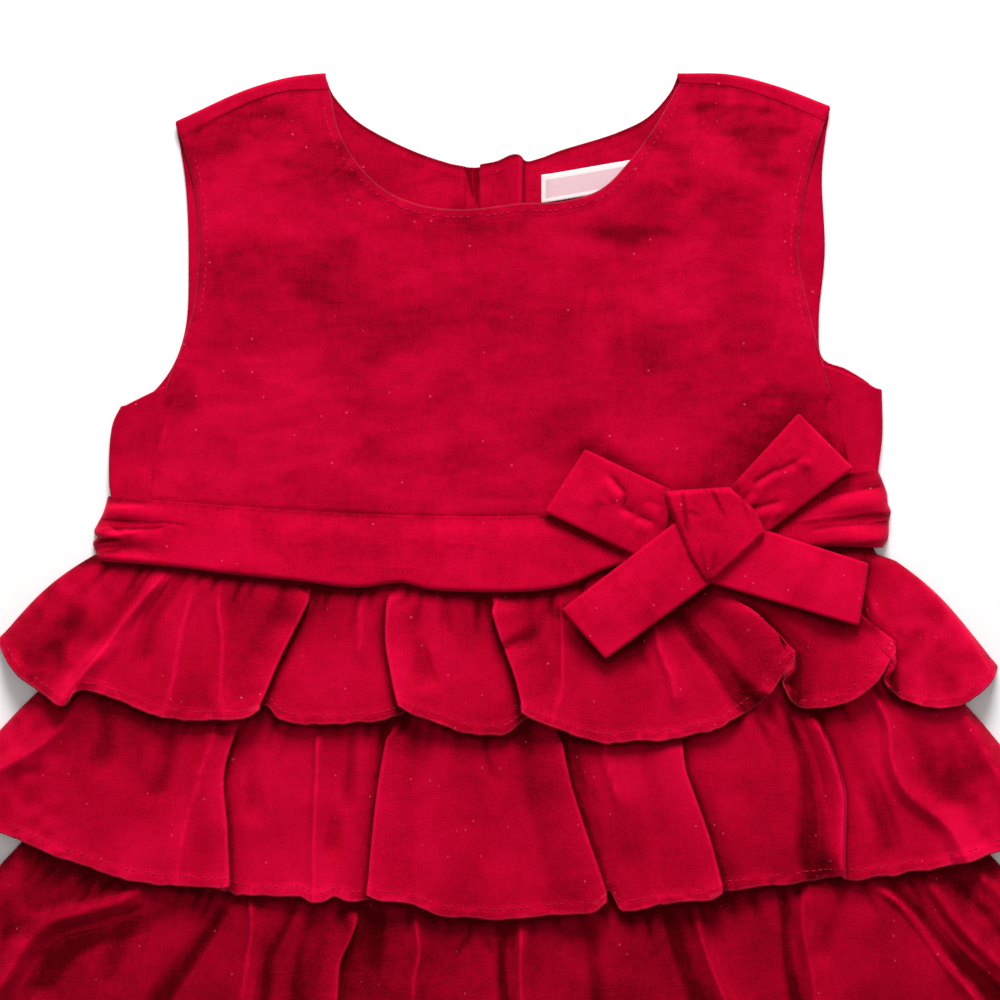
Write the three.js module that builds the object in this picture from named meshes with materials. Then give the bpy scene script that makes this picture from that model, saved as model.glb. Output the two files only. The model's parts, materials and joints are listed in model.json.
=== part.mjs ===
// A toddler's party dress, lying flat on its back: a sleeveless bodice that buttons down the back,
// a sash with a flat bow, and a skirt of four ruffles sewn in tiers to an underskirt.
// Millimetres. +X is to the right as the front is seen, +Y towards the neck, +Z up off the table.
// The origin is on the table, under the middle of the dress.
import * as THREE from "three";

const CLOTH = 1.1; // thickness of a wall of cloth
const GAP = 0.3; // air between pieces that are sewn or lie together
const PLY = CLOTH + GAP; // one layer of cloth on the next

// Heights of the middle of each layer over the table, from the lowest up.
const FLOOR_PLY = CLOTH / 2; // a back panel that lies on the table
const SECOND_PLY = FLOOR_PLY + PLY; // a back panel over another one
const UNDERSKIRT_BACK_Z = SECOND_PLY + PLY;
const UNDERSKIRT_FRONT_Z = UNDERSKIRT_BACK_Z + PLY;
const WAIST_Z = UNDERSKIRT_FRONT_Z + PLY; // front bodice and front ruffles where they are sewn
const SASH_Z = WAIST_Z + PLY;
const BOW_Z = SASH_Z + PLY;
const SEAM_Z = 3.0; // shoulder and side seams, up on the front of the folded edges
const CROWN_Z = 2.7; // how much higher the middle of the front bodice lies than its seams
const HEM_Z = 10.0; // the hem of a front ruffle, over the head of the ruffle below it
const LAST_HEM_Z = 8.2; // the hem of the lowest front ruffle, which has none below it

const mix = (a, b, t) => a + (b - a) * t;
const clamp = (t) => Math.min(1, Math.max(0, t));
const ease = (t) => clamp(t) ** 2 * (3 - 2 * clamp(t));
const steps = (count) => Array.from({ length: count + 1 }, (_, k) => k / count);

// Reads y at x from the rows of a table, which are in order of x, with a smooth turn at each row.
function heightAt(rows, x) {
  const last = rows.length - 1;
  const slope = (k) => {
    const a = rows[Math.max(0, k - 1)];
    const b = rows[Math.min(last, k + 1)];
    return (b.y - a.y) / (b.x - a.x);
  };
  let k = 0;
  while (k < last - 1 && rows[k + 1].x < x) k += 1;
  const [a, b] = [rows[k], rows[k + 1]];
  const width = b.x - a.x;
  const t = clamp((x - a.x) / width);
  const pull = slope(k) * width * t * (1 - t) ** 2 - slope(k + 1) * width * t ** 2 * (1 - t);
  return mix(a.y, b.y, ease(t)) + pull;
}

// A smooth curve through the rows of an outline table, read by its share of the length, 0 to 1.
function outline(rows) {
  const curve = new THREE.CatmullRomCurve3(
    rows.map((row) => new THREE.Vector3(row.x, row.y, 0)), false, "centripetal");
  return (share) => curve.getPointAt(clamp(share));
}

// A piece of cloth: four-sided patches of its middle surface, joined where their points agree.
class Cloth {
  points = [];
  quads = [];
  known = new Map();

  point(place) {
    const key = place.toArray().map((value) => Math.round(value * 1000)).join();
    if (!this.known.has(key)) {
      this.known.set(key, this.points.length);
      this.points.push(place);
    }
    return this.known.get(key);
  }

  // Adds a patch with a point for each value of u (to the right) and v (upwards, as seen from above).
  patch(us, vs, place) {
    const rows = vs.map((v) => us.map((u) => this.point(place(u, v))));
    for (let j = 0; j < vs.length - 1; j += 1) {
      for (let i = 0; i < us.length - 1; i += 1) {
        this.quads.push([rows[j][i], rows[j][i + 1], rows[j + 1][i + 1], rows[j + 1][i]]);
      }
    }
    return this;
  }

  // Closes the cloth into a wall, half its thickness to each side of the middle surface.
  mesh(name, material, thickness = CLOTH) {
    const normals = this.points.map(() => new THREE.Vector3());
    const edges = new Map();
    for (const quad of this.quads) {
      const [a, b, c, d] = quad.map((k) => this.points[k]);
      const face = new THREE.Vector3().subVectors(c, a).cross(new THREE.Vector3().subVectors(d, b));
      quad.forEach((k, n) => {
        normals[k].add(face);
        edges.set(`${k},${quad[(n + 1) % 4]}`, [k, quad[(n + 1) % 4]]);
      });
    }
    const half = thickness / 2;
    const outer = this.points.map((p, k) => p.clone().addScaledVector(normals[k].normalize(), half));
    const inner = this.points.map((p, k) => p.clone().addScaledVector(normals[k], -half));
    const count = this.points.length;
    const triangles = [];
    for (const [a, b, c, d] of this.quads) {
      const short = outer[a].distanceTo(outer[c]) <= outer[b].distanceTo(outer[d]);
      const halves = short ? [[a, b, c], [a, c, d]] : [[a, b, d], [b, c, d]];
      for (const [p, q, r] of halves) triangles.push(p, q, r, count + r, count + q, count + p);
    }
    for (const [a, b] of edges.values()) {
      if (!edges.has(`${b},${a}`)) triangles.push(a, count + a, count + b, a, count + b, b);
    }
    const geometry = new THREE.BufferGeometry();
    geometry.setAttribute("position", new THREE.Float32BufferAttribute(
      [...outer, ...inner].flatMap((p) => p.toArray()), 3));
    geometry.setIndex(triangles);
    geometry.computeVertexNormals();
    return named(name, geometry, material);
  }
}

const cloth = (colour) => new THREE.MeshStandardMaterial({
  color: colour, roughness: 0.85, metalness: 0, side: THREE.DoubleSide });
const CRIMSON = cloth(0xb90429);
const DEEP_CRIMSON = cloth(0xa80224);
const BARE_LABEL = cloth(0xf2dddf);
const BUTTON_RED = new THREE.MeshStandardMaterial({ color: 0x9c0a28, roughness: 0.35, metalness: 0 });

const group = new THREE.Group();

function named(name, geometry, material) {
  const mesh = new THREE.Mesh(geometry, material);
  mesh.name = name;
  return mesh;
}

// The sash's two edges, which the waist, the topmost ruffle and the back sash follow.
const SASH_TOP = [
  { x: -144, y: 66 }, { x: -120, y: 64 }, { x: -62, y: 60 }, { x: -7, y: 58.6 }, { x: 51, y: 60.4 },
  { x: 80, y: 63 }, { x: 109, y: 67 }, { x: 127, y: 74 }, { x: 139, y: 76 },
];
const SASH_LOW = [
  { x: -148, y: 47.3 }, { x: -109, y: 43 }, { x: -73, y: 36.4 }, { x: -18, y: 31.7 },
  { x: 35, y: 34.9 }, { x: 80, y: 39.3 }, { x: 120, y: 47.3 }, { x: 141, y: 48 },
];
const WAIST_Y = 52; // the waist seam runs straight across under the sash

// Bodice back: two panels that lap at the middle, and turn over the shoulders and the sides on to
// the front, where the seams are. Each outline runs upwards, or outwards from the neck.
const LEFT_BACK = {
  fold: [
    { x: -141, y: WAIST_Y }, { x: -141, y: 60 }, { x: -142.6, y: 72 }, { x: -142.4, y: 84 },
    { x: -140.4, y: 96.5 },
  ],
  armhole: [
    { x: -140.4, y: 96.5 }, { x: -127, y: 104.5 }, { x: -119.6, y: 114 }, { x: -115, y: 128 },
    { x: -113.9, y: 152 }, { x: -115, y: 181 }, { x: -118.4, y: 203.3 },
  ],
  neck: [
    { x: 5, y: 188.6 }, { x: -10, y: 186.4 }, { x: -24, y: 189.6 }, { x: -40, y: 196.2 },
    { x: -53.9, y: 204.6 }, { x: -61.5, y: 214 }, { x: -64.1, y: 220.9 },
  ],
  shoulder: [
    { x: -64.1, y: 220.9 }, { x: -77, y: 219.4 }, { x: -93.5, y: 214.6 }, { x: -118.4, y: 203.3 },
  ],
  shoulderSeam: [
    { x: -62.6, y: 214.8 }, { x: -78.6, y: 214.2 }, { x: -91.4, y: 210.4 }, { x: -116.8, y: 197.7 },
  ],
  sideSeam: [{ x: -127, y: WAIST_Y }, { x: -127.4, y: 68 }, { x: -126.4, y: 84 }, { x: -121.9, y: 106.4 }],
};
const RIGHT_BACK = {
  fold: [
    { x: 137, y: WAIST_Y }, { x: 137.2, y: 66 }, { x: 138.4, y: 78 }, { x: 139.8, y: 88 },
    { x: 139.6, y: 101 },
  ],
  armhole: [
    { x: 139.6, y: 101 }, { x: 130, y: 111 }, { x: 118.8, y: 116.6 }, { x: 116.6, y: 130 },
    { x: 118.8, y: 156 }, { x: 117.8, y: 185 }, { x: 120.5, y: 208.9 },
  ],
  neck: [
    { x: -7, y: 188.8 }, { x: 6, y: 189.4 }, { x: 22, y: 193.4 }, { x: 43.7, y: 199.5 },
    { x: 55, y: 205.4 }, { x: 62.6, y: 214.8 }, { x: 65.2, y: 220.8 },
  ],
  shoulder: [{ x: 65.2, y: 220.8 }, { x: 84, y: 220.4 }, { x: 101.2, y: 216.2 }, { x: 120.5, y: 208.9 }],
  shoulderSeam: [
    { x: 65.9, y: 217.4 }, { x: 85, y: 215.9 }, { x: 101.2, y: 210.9 }, { x: 118.7, y: 203.3 },
  ],
  sideSeam: [{ x: 129.4, y: WAIST_Y }, { x: 128, y: 75.7 }, { x: 123.6, y: 95 }, { x: 118.4, y: 113.6 }],
};

// Placket: the left panel's edge lies over the buttons, and the right panel's edge over that.
const BUTTON_RADIUS = 5.5;
const BUTTON_THICK = 1.5;
const BUTTONS_Y = [176, 128, 80];
const BUTTONS_X = -1;
const PLACKET_SLOPE = 6; // width over which a panel comes down from the placket to the table
const SASH_OVERLAP = { above: 12, slope: 9 }; // where a back panel comes down again above the back sash
const PLACKETS = {
  left: { edge: 5, from: -9, lift: BUTTON_THICK + GAP },
  right: { edge: -7, from: 8.4, lift: BUTTON_THICK + GAP + PLY },
};

// Height of a back panel's middle: on the table, over the back sash at the waist, up at the placket.
function backHeight(placket, side, x, y) {
  const overSash = PLY * ease((heightAt(SASH_TOP, x) + SASH_OVERLAP.above - y) / SASH_OVERLAP.slope);
  const overPlacket = placket.lift * ease(1 - (side * (x - placket.from)) / PLACKET_SLOPE);
  return FLOOR_PLY + Math.max(overSash, overPlacket);
}

// Height of the seams that the turned-over edges of the back reach. They rise towards the waist.
const SEAM_RISE = { from: 82, width: 24 };
const seamHeight = (y) => mix(SEAM_Z, WAIST_Z, ease((SEAM_RISE.from - y) / SEAM_RISE.width));

// Shares of a back panel's edges, from 0 to 1, and how a turned edge is shared between arc and flat.
const UNDERARM = 0.3; // share of the side edge below the underarm
const NECK = 0.56; // share of the top edge that is neckline
const DRAWN_IN = { armhole: 0.42, armholeWidth: 0.12, top: 0.9, topWidth: 0.1, neck: 0.8, neckWidth: 0.2 };
const ARC_SHARE = 0.6;
const UNDERARM_Y = 100;
const SHOULDER_Y = 200;

function bodiceBack(name, shape, placket, side) {
  const [fold, armhole] = [outline(shape.fold), outline(shape.armhole)];
  const [neck, shoulder] = [outline(shape.neck), outline(shape.shoulder)];
  const [shoulderSeam, sideSeam] = [outline(shape.shoulderSeam), outline(shape.sideSeam)];
  const turnRadius = (y) => (seamHeight(y) - backHeight(placket, side, shape.fold[0].x, y)) / 2;
  const inset = (p, out, y) => p.clone().addScaledVector(out, -turnRadius(y));
  const sideways = new THREE.Vector3(side, 0, 0);
  const upwards = new THREE.Vector3(0, 1, 0);

  // The four edges of the part that lies flat, the side and shoulder drawn in by the turn's radius.
  const outerEdge = (v) => {
    if (v <= UNDERARM) return inset(fold(v / UNDERARM), sideways, fold(v / UNDERARM).y);
    const atUnderarm = ease((DRAWN_IN.armhole - v) / DRAWN_IN.armholeWidth);
    const atShoulder = ease((v - DRAWN_IN.top) / DRAWN_IN.topWidth);
    return armhole((v - UNDERARM) / (1 - UNDERARM))
      .addScaledVector(sideways, -turnRadius(UNDERARM_Y) * atUnderarm)
      .addScaledVector(upwards, -turnRadius(SHOULDER_Y) * atShoulder);
  };
  const topEdge = (w) => {
    if (w > NECK) return inset(shoulder((w - NECK) / (1 - NECK)), upwards, SHOULDER_Y);
    const atShoulder = ease((w / NECK - DRAWN_IN.neck) / DRAWN_IN.neckWidth);
    return neck(w / NECK).addScaledVector(upwards, -turnRadius(SHOULDER_Y) * atShoulder);
  };
  const bottomEdge = (w) => {
    const x = mix(placket.edge, outerEdge(0).x, w);
    return new THREE.Vector3(x, WAIST_Y, 0);
  };
  const middleEdge = (v) => new THREE.Vector3(placket.edge, mix(bottomEdge(0).y, topEdge(0).y, v), 0);
  const corners = { low: bottomEdge(0), lowOut: bottomEdge(1), high: topEdge(0), highOut: topEdge(1) };
  const onTable = (w, v) => {
    const p = bottomEdge(w).multiplyScalar(1 - v).addScaledVector(topEdge(w), v)
      .addScaledVector(middleEdge(v), 1 - w).addScaledVector(outerEdge(v), w)
      .addScaledVector(corners.low, -(1 - w) * (1 - v)).addScaledVector(corners.lowOut, -w * (1 - v))
      .addScaledVector(corners.high, -(1 - w) * v).addScaledVector(corners.highOut, -w * v);
    return p.setZ(backHeight(placket, side, p.x, p.y));
  };

  // Across: the placket, the neck and the shoulder. Up: the side, the underarm and the armhole.
  const panelWidth = Math.abs(shape.fold[0].x - placket.edge);
  const lapEnd = Math.abs(placket.from - placket.edge) / panelWidth;
  const lapFoot = lapEnd + PLACKET_SLOPE / panelWidth;
  const across = [0, lapEnd / 2, lapEnd, lapFoot, 0.24, 0.33, 0.45, NECK, 0.67, 0.78, 0.89, 1];
  const up = [0, 0.06, 0.12, 0.2, UNDERARM, 0.38, 0.46, 0.58, 0.7, 0.82, 0.92, 1];
  const ordered = (list) => (side > 0 ? list : [...list].reverse());
  const panel = new Cloth().patch(ordered(across), up, onTable);

  // A turned edge: half a circle up from the flat part, then flat along to the seam.
  const turn = (start, out, seam, share) => {
    const radius = turnRadius(start.y);
    const centre = start.clone().setZ(start.z + radius);
    const angle = Math.PI * (Math.min(share, ARC_SHARE) / ARC_SHARE - 0.5);
    const onArc = centre.addScaledVector(out, radius * Math.cos(angle));
    onArc.z += radius * Math.sin(angle);
    return share <= ARC_SHARE ? onArc : onArc.lerp(seam, (share - ARC_SHARE) / (1 - ARC_SHARE));
  };
  const turnSteps = [0, 0.15, 0.3, 0.45, ARC_SHARE, 1];
  const sideTurn = (w, v) => {
    const rise = v / UNDERARM;
    const seam = sideSeam(rise);
    return turn(onTable(1, v), sideways, seam.setZ(seamHeight(seam.y)), w);
  };
  const shoulderTurn = (w, v) => {
    const seam = shoulderSeam((w - NECK) / (1 - NECK)).setZ(SEAM_Z);
    return turn(onTable(w, 1), upwards, seam, v);
  };
  panel.patch(ordered(turnSteps), up.filter((v) => v <= UNDERARM), sideTurn);
  panel.patch(ordered(across.filter((w) => w >= NECK)), turnSteps, shoulderTurn);
  return panel.mesh(name, CRIMSON);
}

group.add(bodiceBack("bodice_back_left", LEFT_BACK, PLACKETS.left, -1));
group.add(bodiceBack("bodice_back_right", RIGHT_BACK, PLACKETS.right, 1));

// Buttons: flat discs with a raised rim, under the placket.
const BUTTON_SIDES = 12;
const BUTTON_DISH = 1.1; // height of the button inside its rim
const BUTTON_PROFILE = [ // radius and height, from the middle of the underside to the middle of the top
  [0, 0], [4.6, 0], [BUTTON_RADIUS, 0.5], [BUTTON_RADIUS, BUTTON_DISH], [4.9, BUTTON_THICK],
  [4.2, BUTTON_THICK], [3.6, BUTTON_DISH], [0, BUTTON_DISH],
];
BUTTONS_Y.forEach((y, k) => {
  const profile = BUTTON_PROFILE.map(([r, z]) => new THREE.Vector2(r, z));
  const disc = new THREE.LatheGeometry(profile, BUTTON_SIDES);
  disc.rotateX(Math.PI / 2);
  disc.translate(BUTTONS_X, y, 0);
  group.add(named(`button_${k + 1}`, disc, BUTTON_RED));
});

// Neck label: a bare woven tab sewn inside the right back panel, below the neckline.
const LABEL = { left: 15.3, right: 50, top: 184.6, height: 10, tilt: 0.17, thick: 1.0 };
const labelPlace = (u, v) => {
  const x = mix(LABEL.left, LABEL.right, u);
  const y = LABEL.top + LABEL.tilt * (x - LABEL.left) - LABEL.height * (1 - v);
  const z = backHeight(PLACKETS.right, 1, x, y) + CLOTH / 2 + GAP + LABEL.thick / 2;
  return new THREE.Vector3(x, y, z);
};
group.add(new Cloth().patch(steps(5), [0, 1], labelPlace).mesh("neck_label", BARE_LABEL, LABEL.thick));

// Bodice front: one panel, sewn to the turned-over edges of the back.
const FRONT = {
  left: [
    { x: -127, y: WAIST_Y }, { x: -127.4, y: 68 }, { x: -126.4, y: 84 }, { x: -121.9, y: 106.4 },
    { x: -116.5, y: 121 }, { x: -112.2, y: 135 }, { x: -110.3, y: 155 }, { x: -111.4, y: 176 },
    { x: -116.8, y: 197.7 },
  ],
  right: [
    { x: 129.4, y: WAIST_Y }, { x: 128, y: 75.7 }, { x: 123.6, y: 95 }, { x: 118.4, y: 113.6 },
    { x: 112.4, y: 137 }, { x: 109.2, y: 154 }, { x: 112.1, y: 179.5 }, { x: 118.7, y: 203.3 },
  ],
  neck: [
    { x: -62.6, y: 214.8 }, { x: -59, y: 199.5 }, { x: -52.4, y: 187.8 }, { x: -42.2, y: 178 },
    { x: -29.5, y: 172.5 }, { x: -14, y: 170.7 }, { x: 8, y: 173 }, { x: 22.6, y: 173.6 },
    { x: 36.8, y: 178 }, { x: 47.3, y: 188.2 }, { x: 57.9, y: 203.1 }, { x: 65.9, y: 217.4 },
  ],
};
const frontEdges = {
  left: outline(FRONT.left), right: outline(FRONT.right), neck: outline(FRONT.neck),
  leftShoulder: outline([...LEFT_BACK.shoulderSeam].reverse()),
  rightShoulder: outline(RIGHT_BACK.shoulderSeam),
};
const SHOULDER = { y: 214, neckX: 62 }; // where the front's shoulder seams meet the neckline
const SHOULDER_SHARE = 0.21; // share of the front's width that each shoulder takes
const CROWN_SLOPE = { fromShoulder: 34, above: 60, rise: 26 }; // how the front rises from its seams
function frontTop(u) {
  if (u < SHOULDER_SHARE) return frontEdges.leftShoulder(u / SHOULDER_SHARE);
  if (u > 1 - SHOULDER_SHARE) return frontEdges.rightShoulder((u - 1 + SHOULDER_SHARE) / SHOULDER_SHARE);
  return frontEdges.neck((u - SHOULDER_SHARE) / (1 - 2 * SHOULDER_SHARE));
}
function frontPlace(u, v) {
  const straight = (share) => frontEdges.left(0).lerp(frontEdges.right(0), share).lerp(frontTop(share), v);
  const p = straight(u)
    .addScaledVector(frontEdges.left(v).sub(straight(0)), 1 - u)
    .addScaledVector(frontEdges.right(v).sub(straight(1)), u);
  const fromShoulder = Math.hypot(SHOULDER.y - p.y, Math.max(0, SHOULDER.neckX - Math.abs(p.x)));
  const upwards = ease((p.y - CROWN_SLOPE.above) / CROWN_SLOPE.rise);
  const crown = Math.sqrt(4 * u * (1 - u)) * ease(fromShoulder / CROWN_SLOPE.fromShoulder) * upwards;
  return p.setZ(seamHeight(p.y) + CROWN_Z * crown);
}
// The panel stops short of the seams all round, by the gap between sewn pieces.
const FRONT_SIZE = { width: 250, height: 150 };
function frontInset(u, v) {
  const [aside, above] = [GAP / FRONT_SIZE.width, GAP / FRONT_SIZE.height];
  return frontPlace(mix(aside, 1 - aside, u), mix(above, 1 - above, v));
}
const frontAcross = [0, 0.05, 0.1, 0.155, SHOULDER_SHARE, 0.26, 0.32, 0.39, 0.46, 0.54, 0.61, 0.68, 0.74,
  1 - SHOULDER_SHARE, 0.845, 0.9, 0.95, 1];
const frontUp = [0, 0.06, 0.14, 0.24, 0.34, 0.45, 0.56, 0.67, 0.78, 0.88, 0.95, 1];
group.add(new Cloth().patch(frontAcross, frontUp, frontInset).mesh("bodice_front", CRIMSON));

// Underskirt: a plain front and back between the layers of ruffles, which are sewn on to it.
const UNDERSKIRT = [
  { y: WAIST_Y - GAP, left: -134.5, right: 130 }, { y: 13, left: -141, right: 140 },
  { y: -50, left: -158, right: 158 }, { y: -117, left: -171, right: 171 },
  { y: -180, left: -190, right: 190 },
];
const UNDERSKIRT_SAG = 24; // how much lower the middle of its hem lies than the ends
const underskirtSide = (edge) => outline(UNDERSKIRT.map((row) => ({ x: row[edge], y: row.y })));
const underskirtEdges = { left: underskirtSide("left"), right: underskirtSide("right") };
function underskirtPlace(u, v, z) {
  const p = underskirtEdges.left(1 - v).lerp(underskirtEdges.right(1 - v), u);
  const hang = UNDERSKIRT_SAG * (1 - (2 * u - 1) ** 2) * (1 - v);
  return p.setY(p.y - hang).setZ(z);
}
const underskirt = (name, z) => new Cloth()
  .patch(steps(8), steps(6), (u, v) => underskirtPlace(u, v, z)).mesh(name, DEEP_CRIMSON);
group.add(underskirt("underskirt_back", UNDERSKIRT_BACK_Z));
group.add(underskirt("underskirt_front", UNDERSKIRT_FRONT_Z));

// Ruffles, from the waist down. Each is sewn along an arc: its half width, the height of the arc's
// middle and how much higher the ends are. Each hem runs from corner to corner. Each fold is a ridge:
// where it starts at the seam, where it meets the hem, how high it is there and how wide each slope is.
const TIERS = [
  {
    seam: { left: -141, right: 136.4, y: WAIST_Y - GAP, ends: WAIST_Y - GAP },
    sides: [{ x: 0, y: 0 }, { x: 0.14, y: 5.2 }, { x: 0.2, y: 0.6 }, { x: 0.5, y: -3 }, { x: 1, y: 0 }],
    down: [1, 0.82, 0.62, 0.45, 0.3, 0.2, 0.14, 0],
    hem: [
      { x: -183.5, y: 14 }, { x: -176.5, y: 3 }, { x: -165, y: -5.5 }, { x: -157.4, y: -4.4 },
      { x: -141, y: -6.6 },
      { x: -127, y: -12.4 }, { x: -103, y: -13 }, { x: -87.4, y: -8.4 }, { x: -83.4, y: -14.9 },
      { x: -54, y: -16.7 }, { x: -37, y: -11 }, { x: -25, y: -15 }, { x: -6, y: -20 }, { x: 7.4, y: -14.2 },
      { x: 16, y: -13 }, { x: 28.8, y: -21.5 }, { x: 55, y: -22.2 }, { x: 78, y: -18.2 },
      { x: 95.7, y: -8 },
      { x: 102, y: 1 }, { x: 106, y: -9.4 }, { x: 118, y: -10 }, { x: 134, y: -2.5 }, { x: 140, y: 3 },
      { x: 145, y: -6 }, { x: 158, y: -9.8 }, { x: 174, y: -4.4 }, { x: 181.8, y: 8 },
    ],
    folds: [
      { top: -134, hem: -170, rise: 2.2, left: 10, right: 12 },
      { top: -122, hem: -153, rise: 3.6, left: 6, right: 9 },
      { top: -111, hem: -121, rise: 2.2, left: 8, right: 9 },
      { top: -101, hem: -101, rise: 2, left: 8, right: 7 },
      { top: -68, hem: -88, rise: 4.2, left: 12, right: 3 },
      { top: -51, hem: -58, rise: 1.7, left: 9, right: 9 },
      { top: -39, hem: -35, rise: 4.2, left: 3, right: 10 },
      { top: -18, hem: -17, rise: 1.8, left: 6, right: 8 },
      { top: -2, hem: 10, rise: 3.9, left: 3, right: 8 },
      { top: 22, hem: 27, rise: 2.5, left: 4, right: 10 },
      { top: 54, hem: 60, rise: 2.5, left: 8, right: 7 },
      { top: 74, hem: 99, rise: 4.8, left: 12, right: 3 },
      { top: 98, hem: 119, rise: 2.1, left: 9, right: 9 },
      { top: 116, hem: 139, rise: 4.2, left: 10, right: 3 },
      { top: 126, hem: 157, rise: 2.5, left: 9, right: 8 },
      { top: 132, hem: 171, rise: 2, left: 7, right: 7 },
    ],
  },
  {
    seam: { left: -149, right: 148, y: -6, ends: 13 },
    hem: [
      { x: -204, y: -44 }, { x: -182, y: -55 }, { x: -166, y: -61.4 }, { x: -147, y: -68 },
      { x: -124, y: -74 }, { x: -98.6, y: -72.8 }, { x: -94, y: -76 }, { x: -55, y: -81 },
      { x: -41, y: -79.7 }, { x: -25, y: -84.5 }, { x: 7, y: -86.8 }, { x: 29, y: -81.5 },
      { x: 35.5, y: -78 }, { x: 40, y: -84.3 }, { x: 74, y: -79.4 },
      { x: 94, y: -75.3 }, { x: 134, y: -72.4 }, { x: 165, y: -67.7 }, { x: 204, y: -44 },
    ],
    folds: [
      { top: -142, hem: -194, rise: 2.8, left: 8, right: 9 },
      { top: -128, hem: -160, rise: 2.1, left: 9, right: 9 },
      { top: -112, hem: -136, rise: 1.8, left: 8, right: 8 },
      { top: -98, hem: -117, rise: 2.5, left: 8, right: 7 },
      { top: -88, hem: -99, rise: 3.4, left: 9, right: 3 },
      { top: -66, hem: -68, rise: 2, left: 8, right: 6 },
      { top: -36, hem: -46, rise: 3.9, left: 3, right: 10 },
      { top: -13, hem: -16, rise: 1.8, left: 9, right: 9 },
      { top: 17, hem: 34, rise: 4.2, left: 12, right: 3 },
      { top: 40, hem: 53, rise: 1.7, left: 8, right: 8 },
      { top: 62, hem: 78, rise: 3.2, left: 9, right: 3 },
      { top: 86, hem: 99, rise: 1.7, left: 8, right: 7 },
      { top: 105, hem: 124, rise: 3.4, left: 3, right: 8 },
      { top: 126, hem: 163, rise: 2.8, left: 8, right: 8 },
      { top: 142, hem: 193, rise: 2.8, left: 9, right: 8 },
    ],
  },
  {
    seam: { left: -165, right: 165, y: -73, ends: -50 },
    hem: [
      { x: -216.6, y: -111.7 }, { x: -196, y: -124 }, { x: -170, y: -133 }, { x: -146, y: -141 },
      { x: -110, y: -144 }, { x: -84, y: -150 }, { x: -58, y: -148 }, { x: -30, y: -153.5 },
      { x: 4, y: -154 }, { x: 38, y: -150 },
      { x: 66, y: -152 }, { x: 94, y: -145 }, { x: 130, y: -143 }, { x: 160, y: -135 }, { x: 192, y: -127 },
      { x: 216.6, y: -111.7 },
    ],
    folds: [
      { top: -152, hem: -203, rise: 3.6, left: 9, right: 5 },
      { top: -138, hem: -176, rise: 2.1, left: 8, right: 8 },
      { top: -118, hem: -148, rise: 2.8, left: 9, right: 7 },
      { top: -96, hem: -112, rise: 2.7, left: 7, right: 7 },
      { top: -72, hem: -88, rise: 3.1, left: 9, right: 3 },
      { top: -50, hem: -66, rise: 3.1, left: 8, right: 4 },
      { top: -29, hem: -36, rise: 2.2, left: 7, right: 7 },
      { top: -9, hem: -13, rise: 1.8, left: 7, right: 8 },
      { top: 6, hem: 10, rise: 3.6, left: 3, right: 9 },
      { top: 40, hem: 47, rise: 2.1, left: 9, right: 9 },
      { top: 68, hem: 90, rise: 3.1, left: 4, right: 8 },
      { top: 105, hem: 117, rise: 3.4, left: 3, right: 9 },
      { top: 122, hem: 146, rise: 2, left: 8, right: 8 },
      { top: 138, hem: 180, rise: 3.5, left: 8, right: 5 },
      { top: 152, hem: 203, rise: 3.1, left: 6, right: 7 },
    ],
  },
  {
    seam: { left: -178, right: 178, y: -140, ends: -117 },
    hem: [
      { x: -224, y: -179 }, { x: -204, y: -190 }, { x: -176, y: -200 }, { x: -148, y: -206 },
      { x: -112, y: -213 }, { x: -80, y: -214 }, { x: -46, y: -219 }, { x: -12, y: -220.5 },
      { x: 22, y: -218.5 }, { x: 58, y: -219 }, { x: 92, y: -213 }, { x: 126, y: -211 },
      { x: 160, y: -203 }, { x: 196, y: -193 }, { x: 224, y: -179 },
    ],
    folds: [
      { top: -164, hem: -208, rise: 3.1, left: 9, right: 7 },
      { top: -144, hem: -182, rise: 2.2, left: 9, right: 9 },
      { top: -126, hem: -154, rise: 3.4, left: 10, right: 4 },
      { top: -104, hem: -126, rise: 2, left: 9, right: 8 },
      { top: -80, hem: -92, rise: 3.8, left: 4, right: 11 },
      { top: -54, hem: -64, rise: 2.1, left: 9, right: 9 },
      { top: -32, hem: -34, rise: 3.2, left: 10, right: 4 },
      { top: -8, hem: -10, rise: 2, left: 8, right: 9 },
      { top: 16, hem: 24, rise: 3.9, left: 12, right: 3 },
      { top: 42, hem: 48, rise: 2, left: 8, right: 9 },
      { top: 66, hem: 82, rise: 3.4, left: 4, right: 10 },
      { top: 94, hem: 110, rise: 2.1, left: 9, right: 9 },
      { top: 116, hem: 140, rise: 3.5, left: 9, right: 4 },
      { top: 138, hem: 170, rise: 2.2, left: 8, right: 8 },
      { top: 158, hem: 204, rise: 3.1, left: 7, right: 9 },
    ],
  },
];
// A back ruffle is pressed flat between the skirt and the table, so that its folds are low and even.
const BACK_FOLD = { rise: 0.9, left: 9, right: 9 };
const HEAD = 0.13; // share of a ruffle's length that lies flat where it is sewn
const DOWN = [1, 0.82, 0.62, 0.42, 0.25, HEAD, 0]; // rows of points down a ruffle
const SIDES = [{ x: 0, y: 0 }, { x: 0.5, y: -2.5 }, { x: 1, y: 0 }]; // how far a side is drawn in
const NARROW_HEAD = 0.55; // how wide a fold is at the seam, as a share of its width at the hem
const BACK_OVERLAP = { above: 27, slope: 15 }; // where a back ruffle comes down again below another layer
const HANG = { power: 1.5, start: 8, headRise: 0.2 }; // how a front ruffle and its folds rise to the hem
const SIDE_TURN = { seam: 6, hem: 12 }; // how wide a front ruffle's sides turn down
const NEXT_SEAM = { clear: 6, slope: 12 }; // how a back ruffle's folds end over the next one
const BACK_SIDE = 0.06; // share of a back ruffle's width at each side without folds

const seamY = (tier, x) => mix(tier.seam.y, tier.seam.ends, (x / tier.seam.right) ** 2);
const hemRange = (tier) => [tier.hem[0].x, tier.hem[tier.hem.length - 1].x];

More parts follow.
